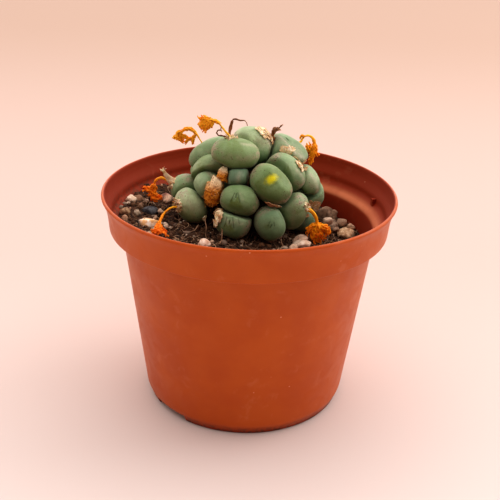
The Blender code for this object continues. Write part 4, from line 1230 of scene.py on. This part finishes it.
# Sprays of their petals: flower, spread at the start and end, number of strands, half width of a
# strand, route of the middle strand
SPRAYS = (
    (1, 0.35, 0.8, 16, 0.26, ((-9.6, 4.9, 86.9), (-10.8, 4.9, 87.7), (-12.2, 4.7, 88.1),
        (-13.6, 4.6, 88.0))),
    (1, 0.6, 0.7, 20, 0.24, ((-12.0, 4.7, 88.0), (-13.6, 4.5, 88.4), (-15.0, 4.5, 88.6),
        (-15.8, 4.5, 89.3))),
    (1, 0.8, 0.7, 30, 0.26, ((-12.4, 4.6, 88.0), (-13.4, 4.4, 87.2), (-14.2, 4.3, 86.0),
        (-14.3, 4.3, 84.9))),
    (1, 0.6, 0.6, 20, 0.26, ((-13.0, 4.6, 88.0), (-14.8, 4.5, 87.6), (-15.2, 4.4, 86.6),
        (-14.7, 4.3, 85.2))),
    (1, 0.5, 0.5, 18, 0.24, ((-12.0, 4.7, 87.9), (-12.2, 4.6, 87.0), (-12.9, 4.5, 86.0),
        (-13.8, 4.4, 85.4))),
    (1, 0.1, 0.1, 3, 0.2, ((-12.0, 4.6, 87.0), (-12.1, 4.6, 86.3), (-12.0, 4.6, 85.7))),
    (2, 0.12, 0.6, 16, 0.28, ((-17.0, 15.0, 79.8), (-17.6, 15.0, 80.6), (-18.5, 15.0, 81.5),
        (-19.8, 15.0, 82.1), (-21.2, 15.0, 81.8), (-22.4, 15.0, 80.8), (-23.6, 15.0, 79.5))),
    (2, 0.7, 0.5, 22, 0.28, ((-21.6, 15.0, 81.2), (-22.8, 15.0, 80.2), (-22.5, 15.0, 78.8),
        (-21.2, 15.0, 77.6))),
    (2, 0.5, 0.35, 16, 0.26, ((-23.0, 15.0, 80.0), (-21.6, 15.0, 79.8), (-20.4, 15.0, 79.2),
        (-19.2, 15.0, 79.1))),
    (2, 0.6, 0.5, 18, 0.28, ((-24.6, 15.0, 79.4), (-23.4, 15.0, 78.9), (-22.0, 15.0, 78.5))),
    (2, 0.35, 0.4, 18, 0.26, ((-17.8, 15.0, 79.9), (-18.3, 15.0, 79.3), (-18.6, 15.0, 78.2),
        (-18.4, 15.0, 77.1))),
    (2, 0.3, 0.4, 12, 0.24, ((-18.6, 15.0, 79.0), (-19.6, 15.0, 78.7), (-20.5, 15.0, 78.0),
        (-21.1, 15.0, 77.3))),
    (3, 0.08, 0.05, 4, 0.2, ((-6.1, 7.1, 87.0), (-5.8, 7.1, 87.8), (-4.9, 7.0, 88.0), (-3.6, 7.0, 87.6),
        (-2.4, 7.0, 87.7), (-1.7, 7.0, 87.1), (-1.4, 7.0, 86.0))),
    (4, 0.5, 0.45, 16, 0.26, ((6.6, 13.0, 82.2), (7.2, 12.9, 83.3), (8.0, 12.9, 83.8), (8.6, 13.0, 83.3))),
    (4, 0.12, 0.05, 4, 0.2, ((8.2, 13.0, 83.6), (8.8, 13.0, 84.1), (9.2, 13.0, 84.6), (9.7, 13.0, 85.0))),
    (5, 0.6, 0.7, 30, 0.3, ((20.3, 18.8, 77.2), (20.4, 18.7, 75.8), (20.0, 18.6, 74.2), (19.6, 18.4, 72.6),
        (19.5, 18.4, 71.0))),
    (5, 0.8, 0.6, 26, 0.3, ((18.2, 18.6, 76.8), (18.7, 18.5, 76.0), (19.6, 18.5, 74.9), (20.2, 18.5, 73.8))),
    (5, 0.5, 0.6, 14, 0.28, ((20.0, 18.6, 75.4), (20.9, 18.5, 74.4), (21.2, 18.4, 73.4))),
    (5, 0.2, 0.2, 8, 0.26, ((15.7, 19.0, 78.6), (15.6, 19.0, 79.3), (16.1, 19.0, 79.7), (16.6, 19.0, 79.3),
        (16.4, 19.0, 78.7))),
    (6, 0.7, 1.2, 26, 0.34, ((-30.6, 11.5, 64.2), (-31.0, 11.4, 62.6), (-31.2, 11.3, 61.2),
        (-31.6, 11.2, 60.0))),
    (6, 0.6, 0.6, 20, 0.32, ((-31.0, 11.4, 62.2), (-32.2, 11.4, 62.4), (-33.4, 11.4, 62.8),
        (-34.0, 11.4, 62.4))),
    (6, 0.7, 0.7, 24, 0.32, ((-31.0, 11.3, 61.8), (-30.2, 11.1, 60.8), (-29.4, 10.9, 60.2),
        (-28.2, 10.8, 60.6))),
    (6, 0.6, 0.8, 16, 0.32, ((-31.2, 11.2, 61.4), (-30.6, 10.9, 60.0), (-30.0, 10.6, 59.2))),
    (7, 0.4, 1.25, 26, 0.26, ((-27.0, -7.2, 59.1), (-27.3, -8.8, 58.2), (-28.0, -10.4, 57.3),
        (-29.0, -11.6, 56.9))),
    (7, 0.4, 1.25, 28, 0.26, ((-27.0, -7.2, 59.1), (-27.0, -9.0, 58.0), (-27.1, -10.8, 57.1),
        (-27.1, -12.2, 56.6))),
    (7, 0.4, 1.25, 26, 0.26, ((-27.0, -7.2, 59.1), (-26.6, -8.8, 58.0), (-25.8, -10.4, 57.0),
        (-24.8, -11.6, 56.4))),
    (8, 0.8, 1.5, 46, 0.26, ((21.2, -0.4, 57.4), (21.4, -0.8, 56.0), (21.8, -1.0, 54.2),
        (22.4, -1.0, 52.2))),
    (8, 0.7, 1.0, 30, 0.26, ((21.2, -0.4, 57.2), (20.2, -0.8, 56.6), (19.2, -1.0, 55.8),
        (19.4, -1.0, 54.4))),
    (8, 0.7, 1.2, 34, 0.26, ((21.4, -0.4, 57.0), (22.6, -0.8, 56.8), (23.9, -1.0, 55.8),
        (23.9, -1.0, 54.2))),
    (8, 0.7, 1.2, 30, 0.26, ((21.2, -0.5, 56.4), (20.6, -1.0, 54.8), (20.6, -1.2, 53.2),
        (21.6, -1.2, 52.0))),
)
PETAL_COLOURS = {
    "gold": ((240, 196, 70), (255, 182, 40), (255, 136, 8)),
    "orange": ((255, 202, 50), (255, 166, 20), (250, 116, 6)),
    "amber": ((252, 190, 36), (252, 142, 16), (234, 98, 6)),
    "brown": ((142, 86, 38), (112, 70, 40), (186, 142, 108)),
}
# Fineness of a strand's curls per millimetre, and the sides of strands and stalks
SPIRAL = 2.4
STRAND_SIDES = 5
STALK_SIDES = 10


def flower_shader(kind, foot, middle, tip):
    """Dried petals: colour runs from foot to tip along each one."""
    petal = Shader(f"dried_flower_{kind}", 0.62, 0.3)
    petal.base(petal.band(petal.mark("along"), 0.0, 0.45), foot, middle)
    petal.lay(petal.mark("tint", petal.band(petal.mark("along"), 0.4, 1.0)), tip)
    petal.lay(petal.patches(0.5, 4.0, 0.52, 0.75, 0.0, 0.5), tip)
    petal.bump(petal.noise(0.25, 3.0), 0.05, 0.6)
    petal.glow(0.15, 0.5, (1.0, 0.5, 0.1))
    return petal


def spray(heap, draw, spread_start, spread_end, count, half_width, route):
    """Curly ribbons that follow one route, each at its own distance from it."""
    line = curve_through(route, 6)
    share = np.linspace(0, 1, len(line))
    reach = (spread_start + (spread_end - spread_start) * share)[:, None]
    for _ in range(count):
        last = draw.randint(int(len(line) * 0.6), len(line))
        first = draw.randint(0, max(0, int(last * 0.25)))
        aside = scatter(draw, 1)
        aside /= max(np.linalg.norm(aside), 1.0)
        phase = Vector([draw.uniform(0, 50) for _ in range(3)])
        strand = line + reach * (aside + 0.9 * drift(line, 0.9, phase))
        strand = strand + 0.28 * drift(line, SPIRAL, phase) * np.minimum(1.0, 3 * reach)
        spread = np.linspace(0, 1, last - first)
        widths = half_width * draw.uniform(0.6, 1.3) * (0.55 + 0.75 * np.sin(np.pi * (0.1 + 0.8 * spread)))
        along = share[first] + (share[last - 1] - share[first]) * along_tube(spread, STRAND_SIDES)
        heap.add(*tube(strand[first:last], widths, STRAND_SIDES, draw.uniform(0.3, 0.7),
                       twist=draw.uniform(-0.5, 0.5)),
                 along=0.3 + 0.7 * along, tint=draw.random())


def make_flower(number, kind, parent, foot, tip, route, heads, shaders):
    heap = Heap()
    draw = random.Random(200 + number)
    stalk = curve_through([heads[parent - 1].spot(route[0], -0.2), *route], 8)
    share = np.linspace(0, 1, len(stalk))
    swell = 1 + 0.3 * (1 - smooth(share, 0.0, 0.25)) + 0.1 * np.sin(share * 19 + number)
    radii = (foot + (tip - foot) * share) * swell
    heap.add(*tube(stalk + 0.05 * drift(stalk, 1.3), radii, STALK_SIDES, 0.72, twist=0.1),
             along=along_tube(share * 0.4, STALK_SIDES), tint=0.5)
    for owner, *row in SPRAYS:
        if owner == number:
            spray(heap, draw, *row)
    slot = "dried_stalk" if kind == "brown" else "dried_flower"
    piece = heap.piece(f"fine_dried_flower_{number}", shaders[kind], slot)
    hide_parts(f"dried_flower_{number}")


# Papery scraps, as in the CAD: head, target, half length, half width, turn, lift
SHEATHS = (
    (12, (-10.0, -8.0, 62.0), 2.7, 1.5, 70, 0.5),
    (2, (4.4, 11.2, 83.0), 3.2, 2.0, -30, 0.35),
    (3, (11.4, 9.0, 78.0), 2.6, 1.4, 20, 0.4),
    (4, (16.0, 4.5, 75.2), 1.8, 1.1, -40, 0.3),
)


def paper_shader():
    """Straw-coloured papery skin, brown at its edges and in spots."""
    paper = Shader("dried_sheath", 0.8, 0.25)
    paper.base(paper.patches(1.1, 5.0, 0.35, 0.65, distortion=0.6), (250, 238, 206), (228, 198, 150))
    paper.lay(paper.band(paper.mark("along"), 0.85, 1.05, 0.0, 0.5), (186, 130, 78))
    paper.lay(paper.patches(0.7, 4.0, 0.6, 0.76, 0.0, 0.5), (134, 84, 48))
    paper.lay(paper.mark("tint"), (150, 88, 42))
    inputs = {0: paper.place, 1: (1.0, 1.0, 0.35)}
    stretched = paper.node("ShaderNodeVectorMath", 0, inputs, operation="MULTIPLY")
    paper.bump(paper.noise(0.3, 4.0, place=stretched), 0.12, 0.7)
    paper.glow(0.15, 0.5)
    return paper


def scrap(heap, head, target, half_long, half_wide, turn, lift, seed, tint=0.0, thickness=0.16):
    """Ragged sheet on a head: it follows the skin, and its edges curl away."""
    draw = random.Random(seed)
    top = unit(head.spot(target) - head.centre)
    sideways = square_to(top, (1.0, 0.0, 0.0))
    long = swung(sideways, np.cross(top, sideways), math.radians(turn))
    short = np.cross(top, long)
    reach = float(head.skin(top))
    rings, sides = 9, 30
    edge = [1 + 0.22 * math.sin(3 * math.tau * step / sides + seed) + draw.uniform(-0.22, 0.16)
            for step in range(sides)]
    rows = [(top, 0.0)]
    for ring in range(1, rings + 1):
        share = ring / rings
        for step in range(sides):
            far = share * (1 + (edge[step] - 1) * share)
            aside = swung(long * half_long, short * half_wide, math.tau * step / sides)
            rows.append((unit(top + aside * far / reach), share))
    ways = np.array([row[0] for row in rows])
    share = np.array([row[1] for row in rows])
    base = head.centre + ways * head.skin(ways)[:, None]
    high = 0.1 + lift * share ** 2.2 * (0.75 + 0.5 * rough(base, 1.2, 2, seed))
    high += 0.16 * np.abs(rough(base, 0.55, 2, seed + 5))
    back = [1 + ring * sides + step for ring in reversed(range(rings)) for step in range(sides)] + [0]
    upper = base + ways * (high + thickness)[:, None]
    lower = base + ways * high[:, None]
    heap.add(np.concatenate([upper, lower[back]]), skin_faces(2 * rings, sides),
             along=np.concatenate([share, share[back]]), tint=tint)


def fringe(heap, head, target, radius, count, length, lean, seed, tint=0.0, width=0.3):
    """Frayed collar: short curled strips that stand round a spot on a head and lean one way."""
    draw = random.Random(seed)
    top = unit(head.spot(target) - head.centre)
    sideways = square_to(top, (0.3, 0.2, 1.0))
    other = np.cross(top, sideways)
    for place in range(count):
        out = swung(sideways, other, math.tau * (place + draw.uniform(-0.4, 0.4)) / count)
        way = unit(top + out * radius * draw.uniform(0.7, 1.15) / 6.0)
        strip = [head.centre + way * (float(head.skin(way)) - 0.15)]
        heading = unit(top + 0.5 * out + np.asarray(lean, float))
        for _ in range(6):
            heading = unit(heading + scatter(draw, 0.28) - 0.12 * out)
            strip.append(strip[-1] + heading * length * draw.uniform(0.7, 1.3) / 6)
        widths = width * draw.uniform(0.6, 1.2) * np.linspace(1.3, 0.35, len(strip))
        heap.add(*tube(strip, widths, 6, 0.35, side=np.cross(out, top), twist=draw.uniform(-0.2, 0.2)),
                 along=along_tube(np.linspace(0, 0.9, 7), 6),
                 tint=np.clip(tint + draw.uniform(-0.15, 0.25), 0, 1))


# Frayed collars: head, target, radius, strips, length, lean, tint
FRINGES = (
    (1, (-6.2, 4.4, 82.5), 1.3, 26, 1.3, (-0.1, -0.3, 0.2), 0.05),
    (1, (-5.0, 4.8, 82.6), 0.8, 10, 0.9, (0.3, -0.2, 0.2), 0.0),
    (18, (-21.8, 0.4, 62.0), 1.8, 56, 1.9, (-0.5, -0.6, 0.2), 0.2),
    (18, (-22.0, 0.2, 61.0), 1.2, 26, 1.3, (-0.3, -0.6, -0.2), 0.35),
    (8, (17.2, -1.2, 63.4), 1.3, 26, 1.2, (0.5, -0.1, 0.4), 0.05),
    (17, (-24.4, 10.4, 64.8), 1.5, 22, 1.4, (-0.9, 0.0, 0.3), 0.35),
)
# Small scraps: head, target, half length, half width, turn, lift, tint
SCRAPS = (
    (7, (6.6, -6.2, 65.8), 2.0, 0.8, -20, 0.8, 0.7),
    (7, (8.4, -5.6, 65.0), 1.4, 0.7, -40, 0.7, 0.3),
    (6, (20.2, 9.8, 60.2), 2.0, 1.4, 10, 0.7, 0.5),
    (6, (21.4, 10.2, 59.0), 1.4, 1.0, 60, 0.8, 0.1),
    (9, (17.0, 4.2, 58.4), 1.4, 0.8, 10, 0.5, 0.7),
    (4, (14.4, 9.6, 75.6), 1.7, 1.0, -40, 0.4, 0.0),
    (4, (16.2, 7.4, 74.2), 1.2, 0.6, -50, 0.5, 0.5),
    (5, (17.2, 9.8, 71.6), 0.8, 0.6, 20, 0.4, 0.3),
    (2, (6.0, 11.4, 80.4), 1.2, 0.6, -70, 0.5, 0.5),
    (2, (5.2, 11.6, 82.2), 1.6, 1.0, -50, 0.5, 0.6),
    (2, (2.8, 11.4, 83.8), 1.8, 1.0, -10, 0.15, 0.0),
    (12, (-9.6, -6.6, 59.4), 1.2, 0.7, 80, 0.5, 0.2),
    (12, (-9.2, -4.6, 62.6), 1.4, 0.8, 20, 0.8, 0.3),
    (3, (15.4, 12.0, 74.0), 0.8, 0.5, 20, 0.4, 0.4),
    (18, (-13.6, -0.6, 58.2), 0.9, 0.7, 20, 0.8, 0.0),
)


def make_dry_bits(heads, shader):
    heap = Heap()
    for place, (parent, *row, tint) in enumerate(FRINGES):
        fringe(heap, heads[parent - 1], *row, 500 + place, tint)
    for place, (parent, *row, tint) in enumerate(SCRAPS):
        scrap(heap, heads[parent - 1], *row, 540 + place, tint)
    heap.piece("dry_bits", shader, "dried_sheath")


# Papery calyx: route from the head outwards
HORN = ((-23.4, 10.6, 65.0), (-24.7, 10.8, 65.8), (-25.9, 11.0, 66.7), (-26.8, 11.1, 67.8),
        (-27.4, 11.1, 68.8))
# Brown curl: rows as in the sprays, without the flower
CURL = (
    (0.12, 0.15, 7, 0.17, ((-7.0, 3.6, 83.3), (-8.8, 3.5, 83.7), (-10.0, 3.5, 83.9), (-10.5, 3.5, 84.7),
                           (-10.0, 3.5, 85.5), (-9.2, 3.5, 85.4), (-9.1, 3.5, 84.8))),
    (0.05, 0.05, 2, 0.14, ((-9.4, 3.5, 85.4), (-9.2, 3.5, 86.3), (-9.3, 3.5, 87.0))),
)


def make_horn(shader):
    """Collapsed papery calyx on the left-hand head, open towards the left."""
    heap = Heap()
    draw = random.Random(71)
    line = curve_through(HORN, 6)
    share = np.linspace(0, 1, len(line))
    points, faces = tube(line, 1.8 - 1.4 * share ** 0.7, 20, 0.6, side=np.array((0.0, 0.3, 1.0)))
    heap.add(points + 0.35 * drift(points, 0.8), faces, along=along_tube(share * 0.5, 20), tint=0.3)
    for _ in range(9):
        start = line[-1] + scatter(draw, 0.25)
        strip = [start, start + (draw.gauss(-0.3, 0.3), 0, 0.5), start + (draw.gauss(-0.5, 0.5), 0, 0.9)]
        heap.add(*tube(strip, (0.3, 0.22, 0.1), 5, 0.4), along=0.2, tint=0.05)
    heap.piece("papery_calyx", shader, "dried_sheath")


def make_curl(shader):
    """Small brown curl left of the highest flower's foot."""
    heap = Heap()
    draw = random.Random(73)
    for row in CURL:
        spray(heap, draw, *row)
    heap.piece("brown_curl", shader, "dried_stalk")


# Rootlets that hang from the clump in front
ROOTLETS = (
    ((-8.0, -8.6, 58.8), (-7.9, -9.2, 56.6), (-7.9, -9.4, 54.8), (-7.3, -10.2, 53.0)),
    ((-7.9, -9.3, 55.0), (-8.6, -9.8, 54.2), (-8.8, -10.6, 53.2)),
    ((9.9, -8.4, 55.6), (10.3, -9.2, 54.4), (10.6, -9.6, 53.2)),
    ((-13.4, -5.4, 60.0), (-12.8, -7.0, 57.8), (-12.9, -8.0, 55.8), (-12.2, -8.6, 54.6)),
    ((-15.4, -4.2, 57.6), (-16.4, -5.8, 56.4), (-17.8, -6.8, 56.2)),
)


def make_rootlets(shader):
    heap = Heap()
    for place, route in enumerate(ROOTLETS):
        line = curve_through(route, 6)
        line = line + 0.1 * drift(line, 1.4)
        heap.add(*tube(line, np.linspace(0.17, 0.08, len(line)), 5), pale=1.0 if place < 2 else 0.5)
    heap.piece("front_rootlets", shader, "soil_peat")


def make_sheaths(heads, shader):
    for node, (parent, target, half_long, half_wide, turn, lift) in enumerate(SHEATHS, 1):
        heap = Heap()
        head = heads[parent - 1]
        scrap(heap, head, target, half_long, half_wide, turn, lift, 300 + node)
        draw = random.Random(310 + node)
        for extra in range(4):
            near = np.asarray(target) + scatter(draw, 0.8)
            scrap(heap, head, near, half_long * draw.uniform(0.25, 0.5), half_wide * draw.uniform(0.4, 0.8),
                  turn + draw.uniform(-40, 40), lift * 1.3, 320 + 10 * node + extra)
        piece = heap.piece(f"fine_dried_sheath_{node}", shader, "dried_sheath")
        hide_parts(f"dried_sheath_{node}")


# Withered heads


def husk_shader():
    """Wrinkled brown husk, pale at the top."""
    husk = Shader("withered_husk", 0.82, 0.25)
    husk.base(husk.band(husk.mark("high"), 0.0, 0.4), (92, 48, 24), (222, 148, 46))
    husk.lay(husk.band(husk.mark("high"), 0.6, 1.0), (242, 222, 182))
    husk.lay(husk.patches(0.55, 5.0, 0.5, 0.68, 0.0, 0.75, 0.5), (124, 66, 30))
    husk.lay(husk.patches(0.4, 4.0, 0.6, 0.74, 0.0, 0.6), (232, 200, 146))
    husk.bump(husk.noise(0.4, 5.0), 0.3, 0.8)
    return husk


def make_withered(number, head, shader):
    heap = Heap()
    polar_angles = [180 * ring / HUSK_RINGS for ring in range(1, HUSK_RINGS)]
    ways = ways_round(head.axis, head.long, head.short, polar_angles, HUSK_SIDES)
    skin = head.skin(ways)
    base = head.centre + ways * skin[:, None]
    folds = np.abs(rough(base, 2.2, 3, number))
    lengths = skin * (1.06 - 0.36 * folds) - 0.4 * np.abs(rough(base, 0.6, 2, number + 4))
    low, high = base[:, 2].min(), base[:, 2].max()
    climb = smooth((base[:, 2] - low) / (high - low), 0.1, 0.8)
    lengths = lengths * (HUSK_FOOT + (HUSK_TOP - HUSK_FOOT) * climb)
    points = head.centre + ways * lengths[:, None]
    heap.add(points, skin_faces(HUSK_RINGS - 1, HUSK_SIDES), high=(points[:, 2] - low) / (high - low))
    draw = random.Random(400 + number)
    for _ in range(HUSK_STRIPS[number - 1]):
        way = unit([draw.gauss(0, 1), -abs(draw.gauss(0, 1)), draw.gauss(0, 1)])
        line = [head.centre + way * (float(head.skin(way)) - 0.25)]
        bend = unit(scatter(draw, 1))
        heading = unit(way * 0.5 + bend)
        for _ in range(5):
            heading = unit(heading + np.cross(heading, bend) * 0.45 - way * 0.12)
            line.append(line[-1] + heading * draw.uniform(0.14, 0.3))
        points, faces = tube(line, draw.uniform(0.07, 0.16), 4, 0.45)
        shade = (points[:, 2] - low) / (high - low) + draw.uniform(-0.2, 0.25)
        heap.add(points, faces, high=np.clip(shade, 0, 1))
    piece = heap.piece(f"fine_withered_head_{number}", shader, "withered_husk")
    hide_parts(f"withered_head_{number}")


# Stage: the floor is flat and sweeps up far away, as radius and height
FLOOR_SWEEP = ((5000.0, 0.0), (5400.0, 40.0), (5750.0, 170.0), (6000.0, 450.0))
FLOOR_SIDES = 96


def make_floor():
    points = [(0.0, 0.0, 0.0)]
    for radius, height in FLOOR_SWEEP:
        points += ring_of(radius, height, FLOOR_SIDES)
    faces = [face for face in skin_faces(len(FLOOR_SWEEP), FLOOR_SIDES) if max(face) < len(points)]
    floor = solid("studio_floor", points, faces)
    floor.data.shade_smooth()
    ground = Shader("studio_floor", 0.9, 0.1)
    # Painted shade: the floor's colour darkens from the front towards the back, in place of the light falling
    # off
    depth = ground.node("ShaderNodeSeparateXYZ", "Y", {0: ground.place})
    ground.base(ground.band(depth, -130, 120), (216, 209, 207), (204, 186, 180))
    ground.lay(ground.band(depth, 60, 620), (186, 164, 151))
    floor.data.materials.append(ground.material)


def make_light():
    world = bpy.data.worlds.new("studio")
    world.use_nodes = True
    tree = world.node_tree
    way = add_node(tree, "ShaderNodeTexCoord", "Generated")
    inputs = {0: way, 1: unit(SKY_WAY)}
    height = add_node(tree, "ShaderNodeVectorMath", "Value", inputs, operation="DOT_PRODUCT")
    inputs = {"Value": height, "From Min": -0.4, "From Max": 1.0, "To Min": SKY_LOW, "To Max": SKY_HIGH}
    strength = add_node(tree, "ShaderNodeMapRange", "Result", inputs, interpolation_type="SMOOTHSTEP")
    sky = tree.nodes["Background"].inputs
    feed(tree, sky["Strength"], strength)
    feed(tree, sky["Color"], linear(*SKY_COLOUR))
    bpy.context.scene.world = world
    data = bpy.data.lights.new("window", "AREA")
    data.size = LAMP_SIZE
    data.energy = LAMP_POWER
    data.color = LAMP_COLOUR
    lamp = placed("window", data)
    lamp.location = LAMP_PLACE
    lamp.rotation_euler = (Vector(LAMP_AIM) - lamp.location).to_track_quat("-Z", "Y").to_euler()


def make_camera():
    cp, sp = polar(1, math.radians(CAMERA_PITCH))
    cr, sr = polar(1, math.radians(CAMERA_ROLL))
    turning = Matrix(((cr, -sr, 0.0), (sr * sp, cr * sp, -cp), (sr * cp, cr * cp, sp)))
    data = bpy.data.cameras.new("camera")
    data.sensor_width = 36.0
    data.lens = CAMERA_LENS
    data.clip_start = 0.01
    camera = placed("camera", data)
    camera.matrix_world = Matrix.Translation(CAMERA_PLACE) @ turning.to_4x4()
    bpy.context.scene.camera = camera


def bark_shader():
    bark = Shader("rootstock_bark", 0.9, 0.2)
    bark.base(bark.patches(1.4, 5.0, 0.35, 0.65), (58, 40, 28), (118, 86, 58))
    bark.bump(bark.noise(0.9, 5.0), 0.4, 0.9)
    return bark


def main():
    bpy.context.scene.view_settings.view_transform = "Standard"
    bpy.context.scene.view_settings.look = "Medium High Contrast"
    make_camera()
    make_floor()
    make_light()
    make_pot()
    heads, withered = plan_heads()
    pebbles = [Pebble(*row[:6]) for row in PEBBLES]
    blobs = heads + withered + pebbles
    skin = head_shader()
    husk = husk_shader()
    peat = soil_shader()
    thread = fibre_shader()
    paper = paper_shader()
    petals = {kind: flower_shader(kind, *colours) for kind, colours in PETAL_COLOURS.items()}
    for number, head in enumerate(heads, 1):
        make_head(number, head, skin)
    for number, head in enumerate(withered, 1):
        make_withered(number, head, husk)
    for number, (pebble, row) in enumerate(zip(pebbles, PEBBLES), 1):
        make_pebble(number, pebble, row[6], row[7])
    make_soil(peat)
    make_crumbs(peat, blobs)
    make_fibres(thread, blobs)
    make_rootlets(thread)
    make_grit(grit_shader(), blobs)
    for number, row in enumerate(STALKS, 1):
        make_flower(number, *row, heads, petals)
    make_sheaths(heads, paper)
    make_dry_bits(heads, paper)
    make_horn(paper)
    make_curl(petals["brown"])
    make_loose_stones(blobs)
    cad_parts["rootstock"].data.materials.clear()
    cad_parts["rootstock"].data.materials.append(bark_shader().material)


main()
